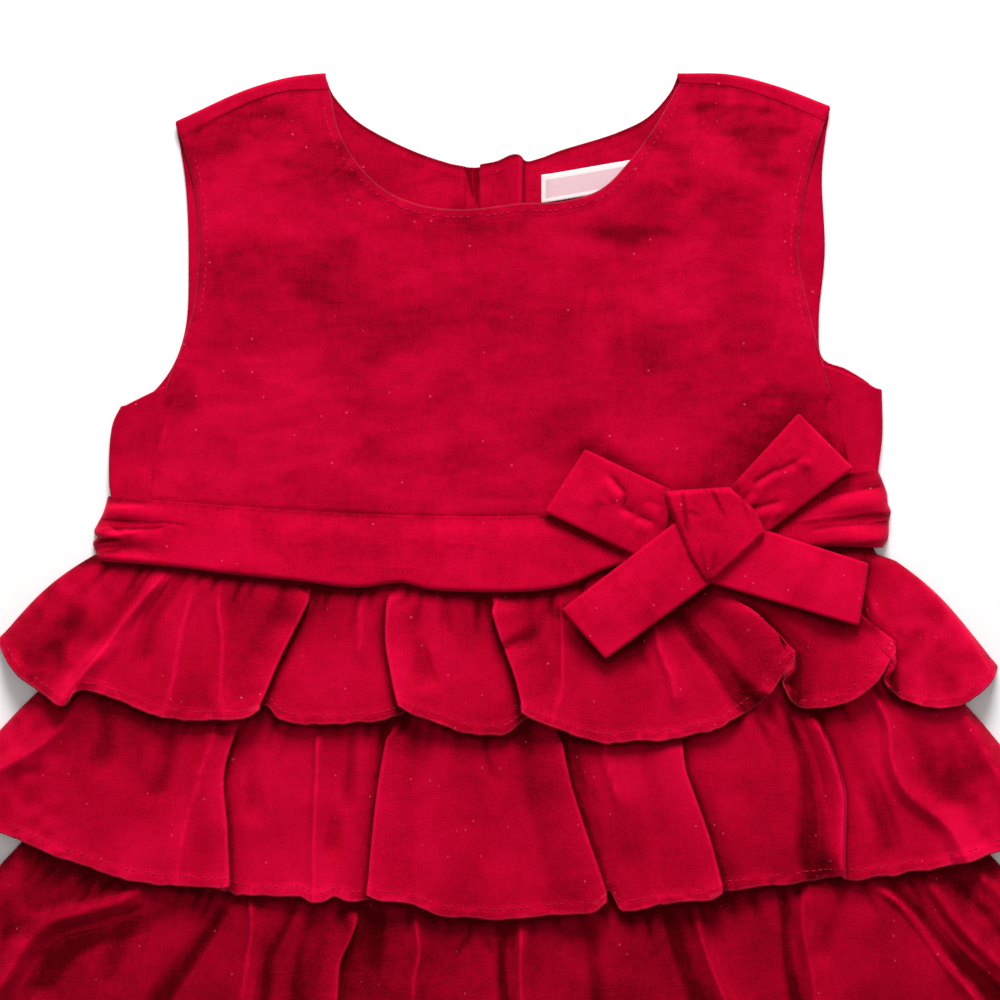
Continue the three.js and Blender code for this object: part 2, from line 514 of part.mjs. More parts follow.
// A ruffle's outline from above: s across from its left edge, t down from its seam.
function ruffleOutline(tier, s, t) {
  const [hemLeft, hemRight] = hemRange(tier);
  const top = mix(tier.seam.left, tier.seam.right, s);
  const hem = mix(hemLeft, hemRight, s);
  const drawnIn = heightAt(tier.sides ?? SIDES, t) * (1 - 2 * s) ** 9;
  const y = mix(seamY(tier, top), heightAt(tier.hem, hem), t);
  return new THREE.Vector3(mix(top, hem, t) + drawnIn, y, 0);
}

// Where a back ruffle lies over the sash or over the ruffle above it, it is one layer off the table.
function backLift(k, x, y) {
  const above = k === 0 ? heightAt(SASH_LOW, x) : heightAt(TIERS[k - 1].hem, x);
  return PLY * ease((y - above + BACK_OVERLAP.above) / BACK_OVERLAP.slope);
}

// The ridge of one fold at x: its slopes end at their widths, and it fades out towards the seam.
function ridge(fold, x, t) {
  const away = x - mix(fold.top, fold.hem, t);
  const width = mix(NARROW_HEAD, 1, t) * (away < 0 ? fold.left : fold.right);
  return Math.abs(away) < width ? (1 - (away / width) ** 2) ** 2 : 0;
}

function frontRuffle(k, s, t) {
  const tier = TIERS[k];
  const p = ruffleOutline(tier, s, t);
  const headY = k === 0 ? heightAt(SASH_LOW, p.x) : ruffleOutline(tier, s, HEAD).y;
  const free = clamp((headY - p.y) / (headY - ruffleOutline(tier, s, 1).y));
  const level = mix(WAIST_Z, k === TIERS.length - 1 ? LAST_HEM_Z : HEM_Z, free ** HANG.power);
  const grown = ease((headY - p.y) / HANG.start) * mix(HANG.headRise, 1, t);
  const folds = tier.folds.reduce((sum, fold) => sum + fold.rise * grown * ridge(fold, p.x, t), 0);
  const edgeZ = FLOOR_PLY + PLY + backLift(k, p.x, p.y);
  const [leftEdge, rightEdge] = [ruffleOutline(tier, 0, t), ruffleOutline(tier, 1, t)];
  const fromEdge = Math.min(p.x - leftEdge.x, rightEdge.x - p.x);
  const turn = Math.sqrt(1 - (1 - clamp(fromEdge / mix(SIDE_TURN.seam, SIDE_TURN.hem, t))) ** 2);
  return p.setZ(mix(edgeZ, level + folds, turn));
}

function backRuffle(k, s, t) {
  const tier = TIERS[k];
  const p = ruffleOutline(tier, s, t);
  const lift = backLift(k, p.x, p.y);
  const below = TIERS[k + 1];
  const clear = below ? ease((p.y - seamY(below, p.x) - NEXT_SEAM.clear) / NEXT_SEAM.slope) : 1;
  const free = (1 - lift / PLY) * clear * ease(Math.min(s, 1 - s) / BACK_SIDE);
  const folds = tier.folds.filter((_, n) => n % 2 === 1)
    .reduce((sum, fold) => sum + BACK_FOLD.rise * free * ridge({ ...fold, ...BACK_FOLD }, -p.x, t), 0);
  return p.setZ(FLOOR_PLY + lift + folds);
}

// Columns of points across a ruffle: its edges, and the crest and feet of each fold.
const EDGE_COLUMNS = [0, 0.006, 0.02, 0.04, 0.96, 0.98, 0.994, 1];
const COLUMN_GAP = 0.004; // columns closer than this are left out
const FOLD_MARGIN = 0.045; // no fold has columns so close to the sides
function columns(tier, folds, reach) {
  const [hemLeft, hemRight] = hemRange(tier);
  const share = (x) => (x - hemLeft) / (hemRight - hemLeft);
  const wanted = folds.flatMap((fold) => [
    share(fold.hem - reach * fold.left), share(fold.hem), share(fold.hem + reach * fold.right)]);
  const kept = wanted.filter((s) => s > FOLD_MARGIN && s < 1 - FOLD_MARGIN);
  const spaced = [];
  const all = [...EDGE_COLUMNS, ...kept].sort((a, b) => a - b);
  for (const s of all) {
    if (spaced.length === 0 || s - spaced[spaced.length - 1] > COLUMN_GAP) spaced.push(s);
  }
  return spaced;
}

const FOOT = { front: 0.75, back: 0.8 }; // where a fold's foot has its column, as a share of its slope
TIERS.forEach((tier, k) => {
  const down = tier.down ?? DOWN;
  const colour = k % 2 === 0 ? CRIMSON : DEEP_CRIMSON;
  const acrossFront = columns(tier, tier.folds, FOOT.front);
  const front = new Cloth().patch(acrossFront, down, (s, t) => frontRuffle(k, s, t));
  group.add(front.mesh(`ruffle_front_${k + 1}`, colour));
  const mirrored = tier.folds.filter((_, n) => n % 2 === 1)
    .map((fold) => ({ ...BACK_FOLD, hem: -fold.hem }));
  const back = new Cloth().patch(columns(tier, mirrored, FOOT.back), down, (s, t) => backRuffle(k, s, t));
  group.add(back.mesh(`ruffle_back_${k + 1}`, colour));
});

// Sash: a folded band round the waist, its front turned down at the sides to meet its back.
const SASH = { left: -148, right: 142, turn: 9.5, pleat: 0.7, pleatReach: 46, pleats: 3 };
function sashFront(u, v) {
  const x = mix(SASH.left, SASH.right, u);
  const y = mix(heightAt(SASH_LOW, x), heightAt(SASH_TOP, x), v);
  const fromEnd = Math.min(x - SASH.left, SASH.right - x);
  const turn = Math.sqrt(1 - (1 - clamp(fromEnd / SASH.turn)) ** 2);
  const wave = Math.sin(SASH.pleats * Math.PI * v) ** 2;
  const pleats = SASH.pleat * wave * ease(1 - fromEnd / SASH.pleatReach);
  return new THREE.Vector3(x, y, mix(SECOND_PLY, SASH_Z + pleats, turn));
}
function sashBack(u, v) {
  const x = mix(SASH.left, SASH.right, u);
  return new THREE.Vector3(x, mix(heightAt(SASH_LOW, x), heightAt(SASH_TOP, x), v), FLOOR_PLY);
}
const sashAcross = [0, 0.004, 0.013, 0.022, 0.033, 0.07, 0.12, 0.18, 0.27, 0.38, 0.5, 0.62, 0.73, 0.82,
  0.88, 0.93, 0.967, 0.978, 0.987, 0.996, 1];
group.add(new Cloth().patch(sashAcross, steps(6), sashFront).mesh("sash_front", CRIMSON));
group.add(new Cloth().patch(steps(14), steps(2), sashBack).mesh("sash_back", CRIMSON));

// Bow: two loops, two tails and the knot round them, each from its four corners, inner end first.
const corner = (x, y) => new THREE.Vector3(x, y, 0);
const betweenCorners = ([a, b, c, d], u, v) => a.clone().lerp(b, v).lerp(c.clone().lerp(d, v), u);
const LOOP_PUFF = 1.6; // how far a loop's upper layer stands off the lower one
const LOOPS = [
  {
    name: "bow_loop_left",
    corners: [corner(67.5, 53.5), corner(66.4, 61.2), corner(19.6, 60.8), corner(32, 81.6)],
  },
  {
    name: "bow_loop_right",
    corners: [corner(92, 57), corner(83.4, 64), corner(125.4, 77.4), corner(108.4, 93)],
  },
];
const LOOP_TURN = { start: 0.4, end: 0.6 }; // shares of a loop's length where it turns over at its end
for (const { name, corners } of LOOPS) {
  const turnRadius = PLY / 2;
  const outward = corners[2].clone().add(corners[3]).sub(corners[0]).sub(corners[1]).setZ(0).normalize();
  const leftward = outward.x < 0;
  // a runs out along the lower layer, round the fold and back along the upper one.
  const loopPlace = (a, b) => {
    const out = Math.min(1, a / LOOP_TURN.start, (1 - a) / (1 - LOOP_TURN.end));
    const p = betweenCorners(corners, out, b);
    if (a <= LOOP_TURN.start) return p.setZ(BOW_Z);
    const puff = LOOP_PUFF * Math.sin(Math.PI * out) * Math.sin(Math.PI * b);
    if (a >= LOOP_TURN.end) return p.setZ(BOW_Z + PLY + puff);
    const angle = Math.PI * ((a - LOOP_TURN.start) / (LOOP_TURN.end - LOOP_TURN.start) - 0.5);
    p.addScaledVector(outward, turnRadius * Math.cos(angle));
    return p.setZ(BOW_Z + turnRadius * (1 + Math.sin(angle)));
  };
  const along = [0, 0.2, LOOP_TURN.start, 0.45, 0.5, 0.55, LOOP_TURN.end, 0.68, 0.76, 0.84, 0.92, 1];
  const loop = new Cloth().patch(leftward ? along : [...along].reverse(), steps(6),
    (a, b) => loopPlace(a, b));
  group.add(loop.mesh(name, CRIMSON));
}
const TAIL_LIFT = { near: 0.3, far: 2.0 }; // how far a tail's two ends lie over the sash and the ruffle
const TAILS = [
  {
    name: "bow_tail_left",
    corners: [corner(77, 39), corner(69.6, 51), corner(37, 9), corner(24, 24)],
  },
  {
    name: "bow_tail_right",
    corners: [corner(80.4, 38), corner(91, 49), corner(129.4, 22), corner(131.6, 40.6)],
  },
];
for (const { name, corners } of TAILS) {
  const rightward = corners[2].x > corners[0].x;
  const tailPlace = (a, b) => betweenCorners(corners, a, b)
    .setZ(BOW_Z + mix(TAIL_LIFT.near, TAIL_LIFT.far, ease(a)));
  group.add(new Cloth().patch(rightward ? steps(6) : steps(6).reverse(), steps(3), tailPlace)
    .mesh(name, CRIMSON));
}
const KNOT = {
  corners: [corner(70.6, 35.4), corner(76.4, 34.4), corner(61.4, 66.4), corner(84, 69)],
  bulgeLeft: 3.4, bulgeRight: 13, underside: 12.1, crown: 1.6, footHigh: BOW_Z, footLow: 11.6, arch: 0.08,
};
function knotPlace(a, b) {
  const p = betweenCorners(KNOT.corners, a, b);
  p.x += Math.sin(Math.PI * a) * mix(-KNOT.bulgeLeft, KNOT.bulgeRight, b);
  const foot = mix(KNOT.footLow, KNOT.footHigh, a);
  const arch = ease(Math.min(a, 1 - a) / KNOT.arch);
  return p.setZ(mix(foot, KNOT.underside + KNOT.crown * Math.sin(Math.PI * b), arch));
}
const knotAlong = [0, 0.03, 0.06, 0.1, 0.2, 0.35, 0.5, 0.65, 0.8, 0.9, 0.94, 0.97, 1];
group.add(new Cloth().patch(knotAlong, steps(7).reverse(), knotPlace).mesh("bow_knot", CRIMSON));

export default group;
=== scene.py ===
# A toddler's party dress of crimson brushed satin, lying flat on its back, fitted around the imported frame.
# +X is to the right as the front is seen, +Y towards the neck, +Z up off the table.
import json
from collections import namedtuple
import bpy
import numpy as np
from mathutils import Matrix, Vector

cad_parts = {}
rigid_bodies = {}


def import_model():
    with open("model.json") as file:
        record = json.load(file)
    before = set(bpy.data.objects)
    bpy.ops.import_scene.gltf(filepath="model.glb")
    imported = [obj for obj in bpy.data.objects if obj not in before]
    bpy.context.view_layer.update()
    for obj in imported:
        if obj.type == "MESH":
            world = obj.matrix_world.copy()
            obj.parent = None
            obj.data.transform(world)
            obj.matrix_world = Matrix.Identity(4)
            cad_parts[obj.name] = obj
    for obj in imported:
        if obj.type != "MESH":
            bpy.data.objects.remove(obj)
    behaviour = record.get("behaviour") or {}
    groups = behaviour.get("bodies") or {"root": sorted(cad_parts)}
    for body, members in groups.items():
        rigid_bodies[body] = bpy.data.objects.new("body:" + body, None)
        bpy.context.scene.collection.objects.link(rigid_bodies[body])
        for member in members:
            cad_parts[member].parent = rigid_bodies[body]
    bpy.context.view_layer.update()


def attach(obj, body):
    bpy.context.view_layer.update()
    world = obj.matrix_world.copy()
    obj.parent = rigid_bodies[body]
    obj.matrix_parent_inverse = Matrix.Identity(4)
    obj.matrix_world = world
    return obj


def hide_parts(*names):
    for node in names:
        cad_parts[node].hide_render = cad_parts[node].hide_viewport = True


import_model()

MM = 0.001

# Table, light and camera. The dress lies on a plain white table, under a soft window-like light from
# past the neck, and the camera looks straight down and takes in the bodice and the upper tiers.
FRAME_SIDE = 364 * MM
FRAME_CENTRE = Vector((0, 64.8 * MM, 7 * MM))
LENS = 85
SENSOR = 36

table = bpy.data.objects.new("table", bpy.data.meshes.new("table"))
table.data.from_pydata([(-2, -2, -0.0003), (2, -2, -0.0003), (2, 2, -0.0003), (-2, 2, -0.0003)], [], [(0, 1, 2, 3)])
bpy.context.collection.objects.link(table)
paint = bpy.data.materials.new("table_white")
paint.use_nodes = True
paint.node_tree.nodes["Principled BSDF"].inputs["Base Color"].default_value = (0.93, 0.93, 0.93, 1)
paint.node_tree.nodes["Principled BSDF"].inputs["Roughness"].default_value = 0.8
table.data.materials.append(paint)

camera = bpy.data.objects.new("camera", bpy.data.cameras.new("camera"))
camera.data.lens = LENS
camera.data.sensor_width = SENSOR
camera.location = FRAME_CENTRE + Vector((0, 0, FRAME_SIDE * LENS / SENSOR))
bpy.context.collection.objects.link(camera)
bpy.context.scene.camera = camera


def soft_light(name, place, size, watts):
    light = bpy.data.objects.new(name, bpy.data.lights.new(name, "AREA"))
    light.data.size = size
    light.data.energy = watts
    light.location = place
    light.rotation_euler = (FRAME_CENTRE - light.location).to_track_quat("-Z", "Y").to_euler()
    bpy.context.collection.objects.link(light)


soft_light("window", Vector((0.05, 1.3, 0.8)), 0.55, 30)
soft_light("ceiling", Vector((0.0, 0.1, 1.7)), 1.5, 6)
world = bpy.data.worlds.new("room")
world.use_nodes = True
world.node_tree.nodes["Background"].inputs["Color"].default_value = (1, 0.98, 0.97, 1)
world.node_tree.nodes["Background"].inputs["Strength"].default_value = 0.25
bpy.context.scene.world = world
bpy.context.scene.view_settings.view_transform = "Standard"

# Bodice back: two panels of the satin that lap at a placket down the middle. They turn over the
# shoulders and the sides on to the front, where they are sewn to the front panel.
CLOTH = 0.6  # thickness of the satin, in mm as all sizes of pieces are
PLY = 1.4  # one layer of cloth on the next, with the air between them
FLOOR_PLY = 0.33
SECOND_PLY = 0.82
WAIST_Z = 6.15
SEAM_Z = 3.0
WAIST_Y = 52
SASH_TOP = [(-144, 66), (-120, 64), (-62, 60), (-7, 58.6), (51, 60.4), (80, 63), (109, 67), (127, 74), (139, 76)]
Back = namedtuple("Back", "fold armhole neck shoulder shoulder_seam side_seam side edge start lift slope bulge")
LEFT_BACK = Back(
    fold=[(-141, WAIST_Y), (-141, 60), (-142.8, 72), (-142.6, 86), (-141.4, 93), (-138.6, 98.2)],
    armhole=[(-138.6, 98.2), (-133, 101.2), (-126.4, 105.2), (-119.6, 114), (-115, 128), (-113.9, 152), (-115, 181), (-118.4, 203.3)],
    neck=[(5, 188.6), (-10, 186.4), (-24, 189.6), (-40, 196.2), (-53.9, 204.6), (-61.5, 214), (-64.1, 220.9)],
    shoulder=[(-64.1, 220.9), (-77, 219.4), (-93.5, 214.6), (-118.4, 203.3)],
    shoulder_seam=[(-62.6, 214.8), (-78.6, 214.2), (-91.4, 210.4), (-116.8, 197.7)],
    side_seam=[(-127, WAIST_Y), (-127.4, 68), (-126.4, 84), (-121.9, 106.4)],
    side=-1, edge=5, start=-5, lift=1.8, slope=4, bulge=0.8)
RIGHT_BACK = Back(
    fold=[(137, WAIST_Y), (137.2, 66), (138.4, 78), (139.8, 88), (139.6, 101)],
    armhole=[(139.6, 101), (138, 105.6), (127, 112.6), (118.2, 116.4), (116.6, 130), (118.8, 156), (117.8, 185), (120.5, 208.9)],
    neck=[(-7, 187.2), (-1, 188.4), (4.6, 190.8), (7.2, 190.6), (9.6, 188.8), (14.6, 189.8), (22, 192.6), (43.7, 199.5), (55, 205.4), (62.6, 214.8), (65.2, 220.8)],
    shoulder=[(65.2, 220.8), (84, 220.4), (101.2, 216.2), (120.5, 208.9)],
    shoulder_seam=[(65.9, 217.4), (85, 215.9), (101.2, 210.9), (118.7, 203.3)],
    side_seam=[(129.4, WAIST_Y), (128, 75.7), (123.6, 95), (118.4, 113.6)],
    side=1, edge=-7, start=7.2, lift=3.2, slope=1.5, bulge=4.2)
UNDERARM = 0.3  # share of a panel's side edge that lies below the underarm
NECK_SHARE = 0.56  # share of a panel's top edge that is neckline


def mix(a, b, t):
    return a + (b - a) * t


def ease(t):
    t = np.clip(t, 0, 1)
    return t * t * (3 - 2 * t)


def height_at(rows, x):
    """y at x from the rows (x, y) of a table in order of x, with a smooth turn at each row."""
    table_x, table_y = np.array(rows, float).T
    last = len(table_x) - 1
    before = np.maximum(np.arange(last + 1) - 1, 0)
    after = np.minimum(np.arange(last + 1) + 1, last)
    slope = (table_y[after] - table_y[before]) / (table_x[after] - table_x[before])
    k = np.clip(np.searchsorted(table_x, x, side="left") - 1, 0, last - 1)
    width = table_x[k + 1] - table_x[k]
    t = np.clip((x - table_x[k]) / width, 0, 1)
    pull = slope[k] * width * t * (1 - t) ** 2 - slope[k + 1] * width * t ** 2 * (1 - t)
    return mix(table_y[k], table_y[k + 1], ease(t)) + pull


def outline(rows):
    """A smooth curve through the rows (x, y), read by its share of the length, from 0 to 1."""
    rows = np.array(rows, float)
    ends = np.vstack([2 * rows[0] - rows[1], rows, 2 * rows[-1] - rows[-2]])
    t = np.linspace(0, 1, 40, endpoint=False)[:, None]
    spans = []
    for a, b, c, d in zip(ends, ends[1:], ends[2:], ends[3:]):
        before, along, after = (np.linalg.norm(q - p) ** 0.5 for p, q in ((a, b), (b, c), (c, d)))
        leave = ((b - a) / before - (c - a) / (before + along) + (c - b) / along) * along
        arrive = ((c - b) / along - (d - b) / (along + after) + (d - c) / after) * along
        spans.append(mix(b, c, ease(t)) + leave * t * (1 - t) ** 2 - arrive * t ** 2 * (1 - t))
    fine = np.vstack(spans + [rows[-1:]])
    run = np.append(0, np.cumsum(np.linalg.norm(np.diff(fine, axis=0), axis=1)))

    def read(share):
        at = np.clip(share, 0, 1) * run[-1]
        return np.stack([np.interp(at, run, fine[:, 0]), np.interp(at, run, fine[:, 1])], axis=-1)
    return read


def rumple(x, y, size, seed):
    """Gentle hills and hollows from -1 to 1, about size mm apart, always the same for a seed."""
    heights = np.random.default_rng(seed).uniform(-1, 1, (64, 64))
    i, j = np.floor(x / size).astype(int), np.floor(y / size).astype(int)
    u, v = ease(x / size - i), ease(y / size - j)
    low = mix(heights[i % 64, j % 64], heights[(i + 1) % 64, j % 64], u)
    high = mix(heights[i % 64, (j + 1) % 64], heights[(i + 1) % 64, (j + 1) % 64], u)
    return mix(low, high, v)


class Cloth:
    """Four-sided patches of the middle of a cloth, joined where they meet and closed into a thin wall."""

    def __init__(self):
        self.places = []
        self.facts = []
        self.quads = []

    def patch(self, places, thread=None, thick=CLOTH, nap=0.0, edge=99.0):
        """Adds rows of points, in mm, that run to the right and then up as the outer side is seen.
        thread is where a point is in the flat cloth, nap how much darker its colour is made, for the pile's own patches
        and for painted shade, less than 0 for painted highlights, edge how far its hem is."""
        shape = places.shape[:2]
        thread = places[..., :2] if thread is None else thread
        facts = [np.broadcast_to(value, shape) for value in (thick, nap, edge)]
        first = sum(len(p) for p in self.places)
        number = first + np.arange(shape[0] * shape[1]).reshape(shape)
        self.places.append(places.reshape(-1, 3))
        self.facts.append(np.dstack([thread[..., 0], thread[..., 1]] + facts).reshape(-1, 5))
        self.quads.append(np.stack([number[:-1, :-1], number[:-1, 1:], number[1:, 1:], number[1:, :-1]],
                                   axis=-1).reshape(-1, 4))
        return self

    def piece(self, solid, material, slot="crimson_satin"):
        """Makes the cloth that stands for a solid, half its thickness to each side, with rounded edges."""
        name = f"{solid}_cloth"
        places, facts, quads = np.vstack(self.places), np.vstack(self.facts), np.vstack(self.quads)
        _, first, number = np.unique(np.round(places, 2), axis=0, return_index=True, return_inverse=True)
        places, facts, quads = places[first], facts[first], number.reshape(-1)[quads]
        a, b, c, d = (places[quads[:, k]] for k in range(4))
        face = np.cross(c - a, d - b)
        normals = np.zeros_like(places)
        for k in range(4):
            np.add.at(normals, quads[:, k], face)
        normals /= np.linalg.norm(normals, axis=1)[:, None] + 1e-12
        edges = np.vstack([quads[:, [k, (k + 1) % 4]] for k in range(4)])
        code = edges[:, 0].astype(np.int64) * len(places) + edges[:, 1]
        back = edges[:, 1].astype(np.int64) * len(places) + edges[:, 0]
        rim = edges[~np.isin(code, back)]
        rim_points = np.unique(rim)
        outward = np.zeros_like(places)
        along = np.cross(places[rim[:, 1]] - places[rim[:, 0]], normals[rim[:, 0]])
        for k in range(2):
            np.add.at(outward, rim[:, k], along)
        outward = outward[rim_points]
        outward /= np.linalg.norm(outward, axis=1)[:, None] + 1e-12
        half = facts[:, 2:3] / 2
        count = len(places)
        middle = np.zeros(count, int)
        middle[rim_points] = 2 * count + np.arange(len(rim_points))
        points = np.vstack([places + normals * half, places - normals * half,
                            places[rim_points] + outward * half[rim_points] * 0.9])
        p, q = rim.T
        faces = np.vstack([quads, quads[:, ::-1] + count, np.stack([p, middle[p], middle[q], q], axis=1),
                           np.stack([middle[p], p + count, q + count, middle[q]], axis=1)])
        facts = np.vstack([facts, facts, facts[rim_points]])
        mesh = bpy.data.meshes.new(name)
        mesh.vertices.add(len(points))
        mesh.vertices.foreach_set("co", (points * MM).astype(np.float32).ravel())
        mesh.loops.add(faces.size)
        mesh.loops.foreach_set("vertex_index", faces.astype(np.int32).ravel())
        mesh.polygons.add(len(faces))
        mesh.polygons.foreach_set("loop_start", np.arange(0, faces.size, 4, dtype=np.int32))
        mesh.update(calc_edges=True)
        mesh.polygons.foreach_set("use_smooth", np.ones(len(faces), bool))
        flat = np.column_stack([facts[:, :2] * MM, np.zeros(len(facts))])
        mesh.attributes.new("thread", "FLOAT_VECTOR", "POINT").data.foreach_set("vector", flat.astype(np.float32).ravel())
        mesh.attributes.new("nap", "FLOAT", "POINT").data.foreach_set("value", facts[:, 3].astype(np.float32))
        mesh.attributes.new("edge", "FLOAT", "POINT").data.foreach_set("value", facts[:, 4].astype(np.float32))
        mesh.materials.append(material)
        area = np.linalg.norm(face, axis=1).sum() / 2e6
        print(f"{name}: {len(faces) * 2} triangles, {area:.4f} m2 of cloth")
        made = bpy.data.objects.new(name, mesh)
        bpy.context.collection.objects.link(made)
        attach(made, "root")
        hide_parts(solid)
        return made


def shader_group(name, takes, gives):
    """An empty node group with its named inputs and outputs, each a (name, socket type)."""
    group = bpy.data.node_groups.new(name, "ShaderNodeTree")
    for label, kind in takes:
        group.interface.new_socket(label, in_out="INPUT", socket_type=kind)
    for label, kind in gives:
        group.interface.new_socket(label, in_out="OUTPUT", socket_type=kind)
    return group, group.nodes.new("NodeGroupInput"), group.nodes.new("NodeGroupOutput")


def node(tree, kind, values=None, **settings):
    """A node with its settings, and its inputs given as values or as sockets to link from."""
    made = tree.nodes.new(kind)
    for key, value in settings.items():
        setattr(made, key, value)
    for key, value in (values or {}).items():
        if isinstance(value, bpy.types.NodeSocket):
            tree.links.new(value, made.inputs[key])
        else:
            made.inputs[key].default_value = value
    return made


def sums(tree, operation, a, b, clamp=False):
    return node(tree, "ShaderNodeMath", {0: a, 1: b}, operation=operation, use_clamp=clamp).outputs[0]


def brushed_nap():
    """Where the short pile lies light or dark, its fine brushed streaks, slubs and lint. Its Pressed input, taken off
    the shade, brings the pile's own patches together with painted shade and painted highlights.
    """
    takes = [("Thread", "NodeSocketVector"), ("Patches", "NodeSocketFloat"), ("Pressed", "NodeSocketFloat")]
    gives = [("Shade", "NodeSocketFloat"), ("Lint", "NodeSocketFloat"), ("Height", "NodeSocketFloat")]
    group, given, out = shader_group("brushed nap", takes, gives)

    def streaks(across, along, detail, swirl=0.3):
        scaled = node(group, "ShaderNodeVectorMath", {0: given.outputs["Thread"], 1: (across, along, 1)},
                      operation="MULTIPLY")
        noise = node(group, "ShaderNodeTexNoise", {"Vector": scaled.outputs[0], "Scale": 1.0, "Detail": detail,
                                                   "Distortion": swirl})
        return sums(group, "SUBTRACT", noise.outputs["Fac"], 0.5)

    def brushed(across, along, edge, depth):
        """Strokes with soft edges, where the pile was brushed the other way."""
        return node(group, "ShaderNodeMapRange", {0: streaks(across, along, 6, 0.9), 1: -edge, 2: edge, 3: -depth,
                                                  4: depth}, interpolation_type="SMOOTHSTEP").outputs[0]

    strokes = sums(group, "ADD", brushed(26, 36, 0.14, 0.11), brushed(65, 150, 0.18, 0.075))
    strokes = sums(group, "ADD", strokes, brushed(280, 150, 0.2, 0.06))
    strokes = sums(group, "MULTIPLY", strokes, given.outputs["Patches"])
    fuzz = sums(group, "MULTIPLY", streaks(1300, 1500, 3), 0.55)
    weft = sums(group, "MULTIPLY", streaks(160, 2600, 3, 1.5), 0.34)
    warp = sums(group, "MULTIPLY", streaks(2300, 210, 3, 1.5), 0.26)
    slubs = node(group, "ShaderNodeMapRange", {0: streaks(90, 1300, 2, 2.0), 1: 0.17, 2: 0.3, 3: 0.0, 4: 0.2}).outputs[0]
    shade = sums(group, "SUBTRACT", sums(group, "ADD", 0.5, strokes), given.outputs["Pressed"])
    for part in (fuzz, weft, warp, slubs):
        shade = sums(group, "ADD", shade, part)
    group.links.new(sums(group, "ADD", shade, 0.0, clamp=True), out.inputs["Shade"])

    cells = node(group, "ShaderNodeTexVoronoi", {"Vector": given.outputs["Thread"], "Scale": 200.0, "Randomness": 1.0})
    near = node(group, "ShaderNodeMapRange", {0: cells.outputs["Distance"], 1: 0.1, 2: 0.03, 3: 0.0, 4: 1.0})
    chosen = node(group, "ShaderNodeSeparateColor", {0: cells.outputs["Color"]})
    few = sums(group, "GREATER_THAN", chosen.outputs[0], 0.74)
    group.links.new(sums(group, "MULTIPLY", near.outputs[0], few), out.inputs["Lint"])
    height = sums(group, "ADD", sums(group, "ADD", weft, warp), sums(group, "MULTIPLY", slubs, 1.5))
    group.links.new(height, out.inputs["Height"])
    return group


NAP = brushed_nap()


def brushed_satin(name, dark, middle, light, patches, sheen=0.35):
    """The crimson cloth: matte, saturated, with a soft pile that lightens at worn edges, and with painted highlights
    along creases and painted shade in its colour.
    """
    material = bpy.data.materials.new(name)
    material.use_nodes = True
    tree = material.node_tree
    surface = tree.nodes["Principled BSDF"]
    thread = node(tree, "ShaderNodeAttribute", attribute_name="thread").outputs["Vector"]
    pile_and_shade = node(tree, "ShaderNodeAttribute", attribute_name="nap").outputs["Fac"]
    edge = node(tree, "ShaderNodeAttribute", attribute_name="edge").outputs["Fac"]
    nap = node(tree, "ShaderNodeGroup", node_tree=NAP)
    nap.inputs["Patches"].default_value = patches
    tree.links.new(thread, nap.inputs["Thread"])
    tree.links.new(pile_and_shade, nap.inputs["Pressed"])
    ramp = node(tree, "ShaderNodeValToRGB", {0: nap.outputs["Shade"]})
    ramp.color_ramp.elements[0].color = (*dark, 1)
    ramp.color_ramp.elements[1].color = (*light, 1)
    ramp.color_ramp.elements.new(0.5).color = (*middle, 1)
    worn = node(tree, "ShaderNodeMapRange", {0: edge, 1: 0.7, 2: 0.1, 3: 0.0, 4: 0.07}).outputs[0]
    worn = sums(tree, "ADD", worn, sums(tree, "MULTIPLY", nap.outputs["Lint"], 0.42), clamp=True)
    colour = node(tree, "ShaderNodeMix", data_type="RGBA")
    tree.links.new(worn, colour.inputs["Factor"])
    tree.links.new(ramp.outputs[0], colour.inputs["A"])
    colour.inputs["B"].default_value = (1.0, 0.13, 0.21, 1)
    tree.links.new(colour.outputs["Result"], surface.inputs["Base Color"])
    band = node(tree, "ShaderNodeMapRange", {0: edge, 1: 5.0, 2: 2.5, 3: 0.0, 4: 1.0}).outputs[0]
    pucker_at = node(tree, "ShaderNodeVectorMath", {0: thread, 1: (380, 110, 1)}, operation="MULTIPLY").outputs[0]
    pucker = node(tree, "ShaderNodeTexNoise", {"Vector": pucker_at, "Scale": 1.0, "Detail": 2.0}).outputs["Fac"]
    pucker = sums(tree, "MULTIPLY", sums(tree, "MULTIPLY", pucker, band), 5.0)
    height = sums(tree, "ADD", sums(tree, "MULTIPLY", nap.outputs["Height"], 0.4), pucker)
    bump = node(tree, "ShaderNodeBump", {"Height": height, "Strength": 0.5, "Distance": 0.0003})
    tree.links.new(bump.outputs[0], surface.inputs["Normal"])
    rough = node(tree, "ShaderNodeMapRange", {0: nap.outputs["Shade"], 1: 0.0, 2: 1.0, 3: 0.85, 4: 0.62})
    tree.links.new(rough.outputs[0], surface.inputs["Roughness"])
    surface.inputs["Specular IOR Level"].default_value = 0.12
    surface.inputs["Specular Tint"].default_value = (1.0, 0.05, 0.18, 1)
    surface.inputs["Sheen Weight"].default_value = sheen
    surface.inputs["Sheen Roughness"].default_value = 0.35
    surface.inputs["Sheen Tint"].default_value = (1.0, 0.04, 0.22, 1)
    return material


# Its dark end is the colour of the pile's dark patches and of painted shade.
BODICE_SATIN = brushed_satin("bodice_satin", (0.17, 0.0003, 0.0055), (0.435, 0.0005, 0.0205), (0.66, 0.002, 0.041), 0.78)


def back_height(shape, x, y):
    over_sash = PLY * ease((height_at(SASH_TOP, x) + 12 - y) / 9)
    over_placket = shape.lift * ease(1 - shape.side * (x - shape.start) / shape.slope)
    return FLOOR_PLY + np.maximum(over_sash, over_placket)


def seam_height(y):
    return mix(SEAM_Z, WAIST_Z, ease((82 - y) / 24))


def beside_slot(x, y):
    """How high the left panel stands beside the slot at the placket."""
    return 1.3 * ease((x + 19) / 5) * ease((-12.4 - x) / 0.8) * ease((y - 168) / 6)


